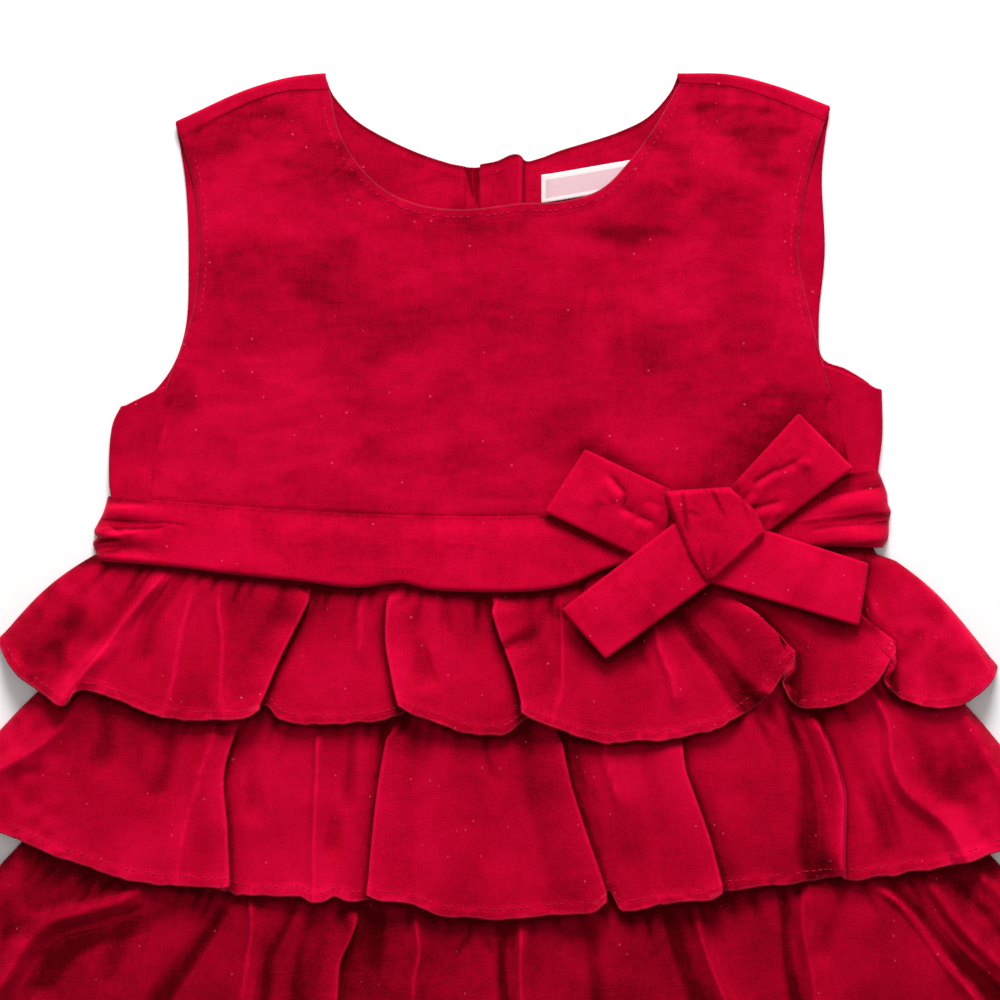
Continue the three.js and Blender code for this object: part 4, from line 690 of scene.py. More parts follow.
# Front ruffles: four tiers of the satin, each gathered on to the underskirt, with a narrow stitched
# hem. A fold follows a line of points down the cloth. It is a ridge, a hollow where its rise is less
# than 0, or a pleat where one side laps over the other, to the right where over is more than 0.
SASH_LOW = [(-148, 43), (-131, 41.9), (-114.3, 40.4), (-100, 38.4), (-73, 35.6), (-52.4, 33.2), (-36, 35), (-25, 32.4),
            (6.6, 31.7), (24.4, 34), (40, 40.5), (60, 44.5), (90, 46.5), (119, 48.2), (141, 47.6)]
Fold = namedtuple("Fold", "line rise left right over crease ends", defaults=(0.0, 2.0, 0.0))
Tier = namedtuple("Tier", "left right middle ends sides hem folds")
SIDES = [(0, 0), (0.5, -2.5), (1, 0)]
TIERS = [
    Tier(-141, 136.4, 51.7, 51.7, [(0, 0), (0.14, 5.2), (0.2, 0.6), (0.5, -3), (1, 0)], [
        (-183.5, 14), (-176.5, 3), (-165, -5.5), (-157.4, -9), (-153.5, -4.4), (-141, -6.6), (-127, -12.4),
        (-112, -15), (-100, -14.2), (-90, -11), (-85, -9.6), (-80, -14.6), (-66, -16.2), (-54, -16.2), (-44, -14.8),
        (-37, -13), (-34, -11.4), (-28, -11.4), (-22, -15.4), (-15, -19), (-6, -20), (3, -19.6), (9, -14.6),
        (14, -14.2), (19, -14.6), (24, -18.6), (29, -21.6), (40, -23), (55, -22.2), (74, -19.2), (87.5, -12.7),
        (92.2, -4.4), (94.7, 2.2), (96.4, 6.2), (97.9, 8.2), (99.5, 5.6), (101.6, 0.5), (103.4, -4), (105.6, -8.6), (109, -10.4),
        (117.2, -10.9), (125.9, -7.3), (129.4, -1.6), (132.4, 6), (133.7, 10.2), (134.9, 12), (136.3, 9.4), (138.4, 3.5),
        (140.4, -2.4), (142.8, -5.6), (148, -8.4), (156.2, -10), (166.3, -9.1), (175.8, -3.6), (182, 4)],
        [
            Fold([(-132, 38), (-134, 31), (-140, 20), (-146, 10)], -2.6, 5, 6, ends=9),
            Fold([(-122, 38), (-135, 23), (-144, 10), (-153, -1)], 3.0, 7, 6, crease=1.5),
            Fold([(-116, 38), (-122, 28), (-127, 20), (-130, 6)], -3.0, 5, 5, ends=10),
            Fold([(-111.7, 32), (-115.8, 16.4), (-119, 0)], 1.6, 5, 5, crease=1.25),
            Fold([(-102.3, 32), (-102.5, 24), (-101, 13), (-101, -9)], 1.5, 6, 4, crease=1.25),
            Fold([(-80, 26), (-84, 16)], -2.0, 7, 6, ends=10),
            Fold([(-67.3, 33), (-73, 21), (-80, 7), (-84.5, -4), (-87, -11)], 2.6, 9, 4.6, over=8.0),
            Fold([(-66, 33), (-70, 22)], 1.6, 3, 3, crease=1.3, ends=9),
            Fold([(-50.6, 30), (-51.7, 8)], 1.0, 6, 6, crease=1.3, ends=8),
            Fold([(-41, 30), (-41.5, 14), (-39.5, 2), (-36.5, -12)], 2.6, 9, 4.4, over=-7.6),
            Fold([(-29, 12), (-25, -2)], -2.0, 4, 5, ends=8),
            Fold([(-18.5, 31), (-18.6, 17)], -2.4, 2.4, 3.4, ends=8),
            Fold([(-4.5, 30), (0, 15), (5, 2), (7.5, -8), (8, -16)], 3.0, 10, 4.6, over=-8.4),
            Fold([(19, 30), (12, 15), (6, 6)], -2.2, 5, 6, ends=12),
            Fold([(22, 28), (22.5, 10), (22.5, -14)], 1.3, 3, 9, crease=1.3),
            Fold([(53, 22), (51, 14), (52, 4)], -2.4, 4, 3, ends=8),
            Fold([(56, 22), (58, 10.5), (62, 0), (64, -10)], 2.0, 4, 7, crease=1.25, ends=8),
            Fold([(63, 26), (73.5, 12.4), (81, 3), (87, -6), (92, -14)], -4.4, 6, 5),
            Fold([(85.5, 28.4), (92.8, 24), (100, 17), (107, 9.8)], 3.4, 13, 5, over=9.0),
            Fold([(90, 26), (96, 20), (102, 15)], -2.2, 4, 5, ends=8),
            Fold([(124, 31), (132.9, 21.5), (143, 13.8)], 3.0, 12, 5, over=8.4),
            Fold([(132, 34), (137.6, 23.3), (146, 12)], 1.5, 4, 4, crease=1.25, ends=9),
            Fold([(150, 40), (161, 28), (171, 16), (177, 4)], 1.6, 7, 6, crease=1.3),
            Fold([(-152, 26), (-160, 10), (-166, 0)], -1.6, 8, 8, ends=8),
        ]),
    Tier(-149, 148, -6, 13, SIDES, [
        (-204, -44), (-194, -50), (-182, -55), (-170, -60), (-158, -65.2), (-147, -69), (-130, -73.4), (-116, -75),
        (-103, -76.4), (-98, -76.6), (-95, -78.4), (-84, -78.8), (-72, -78.8), (-68, -80.6), (-64, -80.6),
        (-60, -78.4), (-56, -80.4), (-49, -80.8), (-44, -79.8), (-36, -80.2), (-31, -82), (-23, -84.8),
        (-11, -86.6), (7, -86.8), (24, -84), (35, -79.8), (40, -77), (44, -84.2), (52, -83.2), (62, -81),
        (73.6, -78.6), (79, -76.8), (92, -75.4), (115, -73.2), (124, -73.2), (134, -72.1), (148, -70.2), (166, -66.6),
        (184, -61), (204, -52)],
        [
            Fold([(-154, -8), (-162, -20), (-174, -29), (-184, -34)], 3.0, 7, 8, crease=1.4),
            Fold([(-145, -8), (-143, -20), (-146, -32)], -3.0, 6, 8, ends=14),
            Fold([(-118, -14), (-121, -31), (-125, -43)], -3.0, 5, 5, ends=10),
            Fold([(-103, -16), (-109.6, -32), (-111.8, -44), (-115, -60), (-117, -72)], 2.0, 7, 6, crease=1.25),
            Fold([(-95, -16), (-99.5, -30), (-100.4, -39), (-99, -53), (-98, -70)], 2.8, 9, 4.6, over=7.4),
            Fold([(-91, -30), (-90.5, -50)], -2.0, 6, 7, ends=10),
            Fold([(-66.4, -18), (-66, -32), (-66.5, -45), (-67.3, -78)], 2.2, 4, 6, crease=1.25),
            Fold([(-53.5, -18), (-54.5, -32), (-55.5, -46)], -3.4, 5, 6, ends=12),
            Fold([(-60, -52), (-61, -64)], -2.2, 4, 5, ends=8),
            Fold([(-40, -16), (-43.7, -36), (-45.5, -50), (-47, -66), (-48, -79)], 2.6, 9, 4.6, over=-8.0),
            Fold([(-6, -20), (-4.4, -28), (-1.6, -36)], -3.2, 3, 4, ends=9),
            Fold([(21.5, -18), (25, -36), (30.5, -54), (35.7, -69), (38.2, -77)], 3.2, 13, 4.8, over=8.6),
            Fold([(27.5, -24), (29, -34), (33, -45)], -2.6, 3, 4, ends=12),
            Fold([(37, -20), (40, -34), (45, -48)], 1.5, 4, 9, crease=1.3, ends=10),
            Fold([(66.2, -22), (67, -32), (70.6, -43), (74.6, -54), (78.3, -67), (80, -75)], 3.0, 13, 4.8, over=8.2),
            Fold([(93, -12), (98.6, -19)], 1.5, 3, 4, crease=1.2, ends=7),
            Fold([(105, -14), (110.6, -28), (113.6, -45), (113.6, -62), (116, -71)], -5.0, 5, 4.4),
            Fold([(114.5, -14), (120, -26), (124.4, -41), (124.4, -53), (123.8, -65)], 3.4, 5, 6, over=3.0, crease=1.5),
            Fold([(127, -20), (133, -36), (139, -52), (142, -66)], -3.0, 6, 6, ends=16),
            Fold([(134.6, -4), (140.5, -16), (143, -31), (148, -41), (161, -52), (166, -61)], 3.0, 5, 8, crease=1.4),
            Fold([(148, -14), (156, -30), (164, -44)], -2.4, 6, 6, ends=14),
            Fold([(166, -10), (174, -22), (182, -36), (190, -50)], 2.4, 7, 8, crease=1.4),
        ]),
    Tier(-165, 165, -73, -50, SIDES, [
        (-216.6, -111.7), (-196, -124), (-170, -133), (-146, -141), (-110, -144), (-96, -150), (-84, -151),
        (-58, -148), (-44, -152), (-30, -153.5), (4, -157), (20, -151), (38, -152), (66, -154), (80, -148),
        (94, -147), (112, -142), (130, -143), (160, -135), (192, -127), (216.6, -111.7)],
        [
            Fold([(-128.5, -74.6), (-139, -81), (-151.4, -84.4), (-163.4, -88.5), (-174, -99), (-183, -115)],
                 4.2, 6, 7, crease=1.6),
            Fold([(-147, -70), (-153, -84)], -3.2, 4, 4, ends=8),
            Fold([(-122, -84), (-136, -91), (-150, -96), (-160, -102), (-168, -114)], -3.6, 6, 7, ends=12),
            Fold([(-132, -84), (-139, -97), (-143, -110)], -2.6, 6, 6, ends=14),
            Fold([(-99.4, -82), (-105.6, -92), (-113, -104), (-122, -116), (-130, -132)], -4.0, 6, 5),
            Fold([(-90.3, -79), (-90.6, -98), (-96, -130)], 2.4, 3, 9, crease=1.4),
            Fold([(-73.2, -81), (-78, -91), (-84, -101.6), (-85.5, -114), (-88, -140)], -3.6, 4, 4),
            Fold([(-71.7, -95), (-74.6, -115), (-78, -142)], -3.0, 4, 5),
            Fold([(-51, -85), (-54, -94), (-58, -103), (-59, -115), (-62, -145)], 2.8, 8, 4.4, over=6.6),
            Fold([(-44, -84), (-45, -95), (-46, -106)], -3.0, 5, 6, ends=14),
            Fold([(-30.2, -88), (-29.5, -99), (-31.7, -110), (-34, -148)], 2.0, 6, 6, crease=1.3),
            Fold([(-11.6, -93), (-16.4, -101)], -3.4, 3, 3, ends=7),
            Fold([(-6.6, -93), (-1.8, -101)], -3.0, 3, 3, ends=7),
            Fold([(1.4, -89), (1.4, -115), (4, -152)], -4.6, 4, 3.4),
            Fold([(7.5, -89), (8, -115), (11, -150)], 3.0, 3.4, 6, crease=1.5),
            Fold([(32, -87), (34, -100), (36, -130)], -2.6, 6, 6, ends=20),
            Fold([(61, -83), (64.4, -96), (71, -115), (84, -146)], -4.0, 5, 5),
            Fold([(71.7, -85.5), (74, -96), (80.4, -113), (92, -142)], 3.0, 5, 8, crease=1.4),
            Fold([(103.7, -77), (104, -95), (108, -117), (114, -140)], -4.8, 4.4, 4),
            Fold([(110, -77), (111, -95), (115, -117), (122, -140)], 3.2, 4, 9, crease=1.6),
            Fold([(121.2, -85), (116.5, -102)], -2.4, 7, 7, ends=16),
            Fold([(134, -74.6), (145, -82), (156, -94), (166, -108)], 2.6, 5, 7, crease=1.4),
            Fold([(143.4, -75.3), (153, -87), (165, -102), (176.5, -113), (184, -124)], -5.0, 5, 5),
            Fold([(155.4, -74), (169, -91), (182, -105), (194, -118)], 3.4, 5, 5, crease=1.5),
            Fold([(163, -72), (175, -83), (182, -91)], -3.6, 4, 4),
            Fold([(170, -68), (182, -79), (200, -100)], 2.8, 5, 6, crease=1.5),
        ]),
    Tier(-178, 178, -140, -117, SIDES, [
        (-224, -179), (-204, -190), (-176, -200), (-158, -203), (-148, -207), (-112, -213), (-92, -213), (-80, -217),
        (-46, -219), (-28, -218), (-12, -222), (10, -219), (22, -218.5), (30, -221), (58, -219), (76, -216),
        (92, -214), (126, -211), (144, -206), (160, -203), (196, -193), (224, -179)],
        [
            Fold([(-164, -138), (-184, -162), (-206, -190)], 3.4, 8, 7, crease=1.4),
            Fold([(-150, -140), (-160, -160), (-168, -180)], -3.2, 6, 6, ends=14),
            Fold([(-128, -144), (-140, -172), (-152, -206)], 3.0, 10, 4.6, over=7.0),
            Fold([(-108, -146), (-116, -176), (-124, -212)], 2.2, 7, 7, crease=1.3),
            Fold([(-92, -150), (-96, -172)], -3.6, 5, 5, ends=12),
            Fold([(-78, -152), (-84, -182), (-90, -214)], 3.0, 10, 4.6, over=-7.6),
            Fold([(-56, -154), (-60, -184), (-64, -218)], 2.0, 7, 7, crease=1.3),
            Fold([(-43, -156), (-44, -180)], -3.6, 4, 5, ends=16),
            Fold([(-30, -156), (-31, -186), (-33, -218)], 3.0, 10, 4.6, over=7.4),
            Fold([(-8, -158), (-9, -186), (-10, -219)], 2.2, 7, 6, crease=1.3),
            Fold([(6, -158), (8, -180)], -3.4, 4, 4, ends=14),
            Fold([(18, -158), (21, -186), (26, -218)], 3.2, 12, 4.6, over=7.8),
            Fold([(42, -156), (45, -186), (49, -218)], 2.0, 7, 8, crease=1.3),
            Fold([(56, -154), (62, -178), (68, -200)], -3.8, 5, 5, ends=18),
            Fold([(68, -152), (75, -182), (83, -216)], 3.0, 10, 4.6, over=-7.2),
            Fold([(94, -150), (102, -180), (110, -212)], 2.4, 7, 8, crease=1.4),
            Fold([(106, -146), (112, -166)], -3.4, 4, 5, ends=12),
            Fold([(118, -144), (129, -174), (141, -208)], 3.0, 10, 4.6, over=7.4),
            Fold([(140, -140), (155, -168), (171, -200)], 2.2, 7, 7, crease=1.3),
            Fold([(152, -138), (164, -156), (174, -172)], -3.4, 5, 5, ends=14),
            Fold([(164, -136), (184, -162), (205, -190)], 3.2, 7, 8, crease=1.4),
        ]),
]
HEAD_Z = 5.9
HEM_Z = 10.8
LAST_HEM_Z = 8.6
# Painted shade on each tier, deeper on the lower two.
TIER_PAINTED_SHADE = (0.03, 0.01, 0.25, 0.24)
RUFFLE_COLUMNS = 430
RUFFLE_ROWS = 54
HEM_WIDTH = 3.2
HEM_STITCH_ROW = 7
# Its dark end is the colour of the deepest painted shadows under hems and in folds.
RUFFLE_SATIN = brushed_satin("ruffle_satin", (0.08, 0.0002, 0.002), (0.415, 0.0005, 0.018), (0.70, 0.002, 0.044), 0.42)


def seam_line(tier, x):
    return mix(tier.middle, tier.ends, (x / tier.right) ** 2)


def ruffle_outline(tier, s, t):
    """A ruffle from above, s across from its left side and t down from its seam, without its folds."""
    top = mix(tier.left, tier.right, s)
    hem = mix(tier.hem[0][0], tier.hem[-1][0], s)
    x = mix(top, hem, t) + height_at(tier.sides, t) * (1 - 2 * s) ** 9
    return x, mix(seam_line(tier, top), height_at(tier.hem, hem), t)


def back_lift(k, x, y):
    above = height_at(SASH_LOW, x) if k == 0 else height_at(TIERS[k - 1].hem, x)
    return PLY * ease((y - above + 27) / 15)


def fold_line(fold):
    """Gives x of a fold's line at a height y. It goes straight on past its ends."""
    line = np.array(fold.line, float)
    before = line[0] + (line[0] - line[1]) * 40 / (line[0, 1] - line[1, 1])
    after = line[-1] + (line[-1] - line[-2]) * 40 / (line[-2, 1] - line[-1, 1])
    rows = np.vstack([before, line, after])[::-1, ::-1]
    return lambda y: height_at(rows, np.minimum(y, line[0, 1] + 3))


def fold_shape(fold, x, y, hem_y):
    """How far one fold moves the cloth sideways and up at each point, how much painted shade or painted
    highlight it puts there, and how much of a lap's rounded corner it has."""
    top, low = fold.line[0][1], fold.line[-1][1]
    along = np.clip((top - y) / np.maximum(top - hem_y, 1), 0, 1)
    strength = ease((top + 4 - y) / 10)
    if fold.ends:
        strength = strength * ease((y - low + fold.ends * 0.4) / fold.ends)
    line = fold_line(fold)
    centre = line(np.maximum(y, low)) if fold.over else line(y)
    wide = mix(0.7, 1.0, along)
    if not fold.over:
        slant = (line(y + 1) - line(y - 1)) / 2
        wander = 0.8 * rumple(y, x * 0 + 3 * fold.line[0][0], 15, 34)
        away = (x - centre - wander) / np.sqrt(1 + slant ** 2)
        wide = mix(0.55, 1.3, along) * (1 + 0.25 * rumple(y, x * 0 + 5 * fold.line[0][0], 19, 36))
        q = np.clip(np.abs(away) / (np.where(away < 0, fold.left, fold.right) * wide), 0, 1)
        rise = 1.5 * fold.rise * strength * mix(0.6, 1, along) * (1 - q ** fold.crease) ** 2
        # A sharp ridge gets a painted highlight along its crest.
        sharp = (fold.rise > 0) * ease((1.75 - fold.crease) / 0.3)
        bright = 0.42 * (0.6 + 0.4 * rumple(y * 3, x * 0, 5, 33)) * sharp * strength
        return np.zeros_like(x), rise, -bright * np.exp(-(away / 0.4) ** 2), np.zeros_like(x)
    way = np.sign(fold.over)
    lap = abs(fold.over) * strength * mix(0.6, 1.0, along)
    turn = fold.right * wide
    q_crest = 0.12
    offset = turn * q_crest + lap * (1 - ease(q_crest))
    away = way * (x - centre) + offset
    slope = np.clip(1 + away / (fold.left * wide), 0, 1)
    fall = ease(away / turn)
    share = np.where(away < 0, ease(slope), 1 - fall)
    rise = np.where(away < 0, ease(slope) ** 0.8, 1 - fall)
    beside = away - offset
    rise = 1.45 * fold.rise * strength * mix(0.75, 1, along) * rise
    rise = rise - 1.5 * strength * np.exp(-((beside - 2.5) / 3.5) ** 2) * (beside > -2)
    # Painted shadow beside the lap's edge and on its upper flank, and a painted highlight along the edge.
    dark = 0.5 * np.exp(-(np.maximum(beside, 0) / 2.2) ** 2) * (beside > -2)
    dark = dark + 0.16 * np.exp(-((away + fold.left * 0.55) / (0.3 * fold.left)) ** 2)
    bright = 0.36 * (0.75 + 0.25 * rumple(y * 3, x * 0, 5, 33)) * np.exp(-((away + 0.15) / 0.45) ** 2)
    upright = abs(fold.line[-1][0] - fold.line[-2][0]) < 0.6 * abs(low - fold.line[-2][1])
    corner = upright * strength * np.exp(-((away - 0.3) / 2.2) ** 2)
    return way * lap * share, rise, strength * (dark - bright), corner


def ruffle_columns(tier, down):
    """Shares s for the rows of a ruffle, in columns that keep to its laps and creases and lie closest there."""
    kept = [np.zeros(len(down)), np.ones(len(down))]
    for fold in sorted(tier.folds, key=lambda f: not f.over):
        y = mix(seam_line(tier, fold.line[0][0]), fold.line[-1][1], down)
        left, right = (ruffle_outline(tier, np.full(len(down), end), down)[0] for end in (0.0, 1.0))
        s = (fold_line(fold)(y) - fold.over * mix(0.6, 1.0, down) - left) / (right - left)
        apart = 0.014
        fits = all(np.all(s - other > apart) or np.all(other - s > apart) for other in kept)
        if fits and not fold.ends:
            kept.append(s)
    kept = sorted(kept, key=lambda s: s.mean())
    columns = []
    for near, far in zip(kept, kept[1:]):
        q = np.linspace(0, 1, max(int(RUFFLE_COLUMNS * (far - near).mean()), 6), endpoint=False)
        columns.append(mix(near[:, None], far[:, None], q - 0.55 * np.sin(2 * np.pi * q) / (2 * np.pi)))
    return np.hstack(columns + [kept[-1][:, None]])


# Lines under the bow's tails, where painted shadow lies on the top tier.
TAIL_SHADOW_LINES = [((77, 35), (39, 7)), ((38, 7), (23, 24)), ((77, 35), (129, 19)), ((130, 19), (133.5, 41))]


class Pressed:
    """The lowest height of what lies above, on a grid of points, so that cloth below stays under it."""

    def __init__(self):
        self.step = 1.5
        self.low = np.full((400, 400), 99.0)

    def cell(self, x, y):
        i = np.clip(((x + 300) / self.step).astype(int), 1, 398)
        return i, np.clip(((y + 300) / self.step).astype(int), 1, 398)

    def add(self, places):
        i, j = self.cell(places[..., 0], places[..., 1])
        for di in (-1, 0, 1):
            for dj in (-1, 0, 1):
                np.minimum.at(self.low, (i + di, j + dj), places[..., 2])

    def under(self, x, y, z, air):
        return np.minimum(z, self.low[self.cell(x, y)] - air)


over_the_skirt = Pressed()


def front_ruffle(k, s, t):
    tier = TIERS[k]
    x, y = ruffle_outline(tier, s, t)
    hem_x, hem_y = ruffle_outline(tier, s, np.ones_like(t))
    head_y = height_at(SASH_LOW, x) if k == 0 else ruffle_outline(tier, s, np.full_like(t, 0.13))[1]
    free = np.clip((head_y - y) / (head_y - hem_y), 0, 1)
    level = mix(HEAD_Z, LAST_HEM_Z if k == len(TIERS) - 1 else HEM_Z, free ** 1.9)
    grown = ease((head_y - y) / 8)
    shift, rise, tone, corner = (np.zeros_like(x) for _ in range(4))
    for fold in tier.folds:
        sideways, up, dark, rounded = fold_shape(fold, x, y, hem_y)
        shift += sideways
        rise += up
        tone += dark
        corner += rounded
    crimps = np.random.default_rng(70 + k)
    at = tier.left + 8
    while at < tier.right - 8:
        fan = (tier.hem[-1][0] / tier.right - 1) * at
        reach = crimps.uniform(9, 26)
        line = at + fan * t
        depth = crimps.uniform(0.5, 1.5) * ease((head_y - y + 2) / 4) * ease((y - head_y + reach) / reach)
        groove = depth * np.exp(-((x - line) / crimps.uniform(0.9, 1.7)) ** 2)
        rise -= groove
        # Painted shade in each gather's groove.
        tone += 0.26 * groove
        at += crimps.uniform(4, 11)
    above_y = head_y if k == 0 else height_at(TIERS[k - 1].hem, x)
    below_hem = np.maximum(above_y - y, 0)
    # Painted shadow under the hem of the sash or tier above, painted shade on each tier, and painted shade in hollows
    # with lighter ridges.
    tone = tone + 0.34 * ease(1 - below_hem / 6) + 0.34 * np.exp(-(below_hem / 2.1) ** 2) + TIER_PAINTED_SHADE[k]
    tone = tone + np.clip(-rise / 13, -0.12, 0.34)
    # Painted shadow under the corners of the laps of the tier above.
    laps_above = [fold.line[-1] for fold in TIERS[k - 1].folds if fold.over] if k > 0 else []
    for lap_x, lap_y in laps_above:
        tone = tone + 0.38 * np.exp(-((x - lap_x) / 4) ** 2 - ((y - lap_y + 4) / 6) ** 2)
    # Painted shadow under the bow's tails.
    if k == 0:
        tone = tone + 0.55 * beside(TAIL_SHADOW_LINES, x, y, 2.6)
    tone = tone + 0.16 * rumple(x, y, 34, 20 + k) + 0.10 * rumple(x, y * 0.6, 12, 24 + k)
    tone = tone + ease((np.abs(x) - 0.76 * tier.hem[-1][0]) / 9) * (0.17 * rumple(x, y, 4, 44) - 0.06)
    tone = tone - 0.42 * ease(1 - (y - hem_y) / 5) * np.maximum(rumple(x, y * 1.4, 2.4, 46), 0)
    wave = 0.5 * rumple(x, y, 21, 50 + k) + 0.22 * rumple(x, y, 9, 60 + k)
    hem_wave = 0.5 * rumple(x, y * 0.4, 11, 80 + k) * ease(1 - (y - hem_y) / 9)
    z = level + grown * (rise + wave + hem_wave)
    if k == 0:
        z = np.minimum(z, 11.2 + 8 * ease(np.hypot((x - 80) / 66, (y - 28) / 30) - 0.75))
    z = np.maximum(z, mix(5.6, 7.0 if k < 3 else 5.6, free))
    hem_wobble = 0.6 * rumple(x, x * 0, 6.5, 90 + k) + 0.32 * rumple(x, x * 0, 2.6, 94 + k)
    y = y + hem_wobble * ease(1 - (y - hem_y) / 12) + 2.0 * corner * ease(1 - (y - hem_y) / 9)
    left_x = ruffle_outline(tier, np.zeros_like(s), t)[0]
    right_x = ruffle_outline(tier, np.ones_like(s), t)[0]
    from_side = np.minimum(x - left_x, right_x - x)
    turn = np.sqrt(1 - (1 - np.clip(from_side / mix(6, 12, t), 0, 1)) ** 2)
    side_z = SECOND_PLY + back_lift(k, x, y)
    x = x + grown * shift * ease(from_side / 10)
    z = mix(side_z, z, turn)
    z = np.where(t > 0.02, np.maximum(over_the_skirt.under(x, y, z, 0.95), side_z), z)
    return np.dstack([x, y, z]), np.clip(tone, -0.45, 0.5)


lines_to_stitch = []
for k, tier in enumerate(TIERS):
    down = np.append(np.linspace(1, 0.955, 8)[:-1], np.linspace(0.955, 0, RUFFLE_ROWS))
    s = ruffle_columns(tier, down)
    t = np.broadcast_to(down[:, None], s.shape)
    # The ruffle's tone: painted shade and painted highlights of its folds, hems and laps, with its own mottling and
    # lighter worn flecks at the hem.
    places, tone_and_painted_shade = front_ruffle(k, s, t)
    edge = edge_distance(places, places[0])
    nominal = np.dstack(ruffle_outline(tier, s, t))
    thick = mix(0.8, CLOTH, ease((edge - HEM_WIDTH + 0.3) / 0.6)) - 0.14 * np.exp(-((edge - HEM_WIDTH) / 0.5) ** 2)
    made = Cloth().patch(places, thread=nominal * (1.6, 1), thick=thick, nap=tone_and_painted_shade, edge=edge)
    made = made.piece(f"ruffle_front_{k + 1}", RUFFLE_SATIN)
    lines_to_stitch.append((made, places))
    over_the_skirt.add(places)

# Back ruffles: the same four tiers on the back, pressed flat between the skirt and the table.
BACK_FOLD_RISE = 0.9
for k, tier in enumerate(TIERS):
    s, t = np.meshgrid(np.linspace(0, 1, 200), np.linspace(1, 0, 28))
    x, y = ruffle_outline(tier, s, t)
    lift = back_lift(k, x, y)
    clear = ease((y - seam_line(TIERS[k + 1], x) - 6) / 12) if k < 3 else 1.0
    free = (1 - lift / PLY) * clear * ease(np.minimum(s, 1 - s) / 0.06)
    z = FLOOR_PLY + lift
    for fold in tier.folds[1::2]:
        top, low = fold.line[0], fold.line[-1]
        away = -x - mix(top[0], low[0], t)
        z = z + BACK_FOLD_RISE * free * np.clip(1 - (away / (9 * mix(0.55, 1, t))) ** 2, 0, 1) ** 2
    made = Cloth().patch(np.dstack([x, y, np.minimum(z, 3.0)]), thread=np.dstack([x * 1.6, y]))
    made.piece(f"ruffle_back_{k + 1}", RUFFLE_SATIN)

# Sash: a folded double band of the satin round the waist, sewn on along its top. Its lower edge is a
# soft roll that stands off the ruffle, and it is pleated together where it goes round the sides.
SASH_Z = 7.55
SASH_LEFT = [(0, -147.4), (0.12, -147.8), (0.27, -148.9), (0.34, -147.2), (0.44, -148.5), (0.55, -147.4),
             (0.74, -145.2), (1, -143.4)]
SASH_RIGHT = [(0, 140.1), (0.12, 142), (0.35, 142.3), (0.46, 143), (0.54, 142), (0.68, 141.6), (0.86, 139.8), (1, 138)]
# Its dark end is the colour of painted shade in its creases and under the bow.
SASH_SATIN = brushed_satin("sash_satin", (0.15, 0.0003, 0.0045), (0.52, 0.0006, 0.0245), (0.76, 0.002, 0.047), 0.75, 0.3)
# Creases where it is drawn together at the sides, each a painted highlight with painted shade beside it, or dark where
# how light is less than 0: from x, y to x, y, how light.
SASH_CREASES = [
    ((-148, 51.2), (-131, 53), 0.4), ((-148.4, 49.4), (-137, 50.4), -0.6), ((-147, 46.6), (-137, 47.4), 0.32),
    ((-147, 58), (-112, 55.6), -0.3), ((-144, 57), (-135, 51), -0.3),
    ((-146, 53.6), (-120, 54.8), -0.34), ((-143, 62), (-128, 62), 0.16), ((-92, 52), (-66, 49), 0.1),
    ((108, 57.6), (143, 61.4), 0.42), ((132, 56.4), (143, 58.2), 0.4), ((112, 54.4), (140, 56.4), -0.26),
    ((118, 66), (140, 70), -0.24), ((126, 50), (142, 51), 0.14), ((-20, 50), (4, 47), 0.1), ((-60, 42), (-30, 40), 0.08),
]
# Lines under the bow's loops, where painted shadow lies on the sash.
LOOP_SHADOW_LINES = [((44, 45.5), (17.5, 59.4)), ((97, 52.5), (127, 75.5)), ((17, 60), (31, 82)), ((76, 36), (66, 56))]
roll = np.linspace(-0.12, 0, 7)[:-1]
u, v = np.meshgrid(np.linspace(0, 1, 260), np.append(roll, np.linspace(0, 1, 44)))
share = np.abs(v)
left_x, right_x = height_at(SASH_LEFT, share), height_at(SASH_RIGHT, share)
x = mix(left_x, right_x, u)
low, top = height_at(SASH_LOW, x), height_at(SASH_TOP, x)
y = mix(low, top, share)
from_end = np.minimum(x - left_x, right_x - x)
turn = np.sqrt(1 - (1 - np.clip(from_end / 9.5, 0, 1)) ** 2)
puff = 1.5 * ease((top - y) / 9) * (1 - 0.25 * ease((y - low) / 12))
body = SASH_Z + puff + 0.3 * rumple(x, y, 26, 91) + 0.15 * rumple(x, y, 9, 92)
left_reach, right_reach = ease(1 - (x + 148) / 32), ease(1 - (142 - x) / 38)
pleats = 1.5 * left_reach * (np.cos(2 * np.pi * (share - 0.02) * 2.6) - 0.3) * ease(share / 0.1)
pleats = pleats + 1.3 * right_reach * (np.cos(2 * np.pi * (share - 0.1) * 2.1) - 0.3) * ease(share / 0.1)
rounded = 1.1 * (1 - np.sqrt(1 - (1 - np.clip((y - low) / 1.6, 0, 1)) ** 2))
z_top = body + pleats - rounded
z_under = body - rounded - 1.1 * ease(share / 0.05)
z = np.where(v < 0, z_under, z_top)
z = mix(SECOND_PLY, np.maximum(z, 6.9), turn)
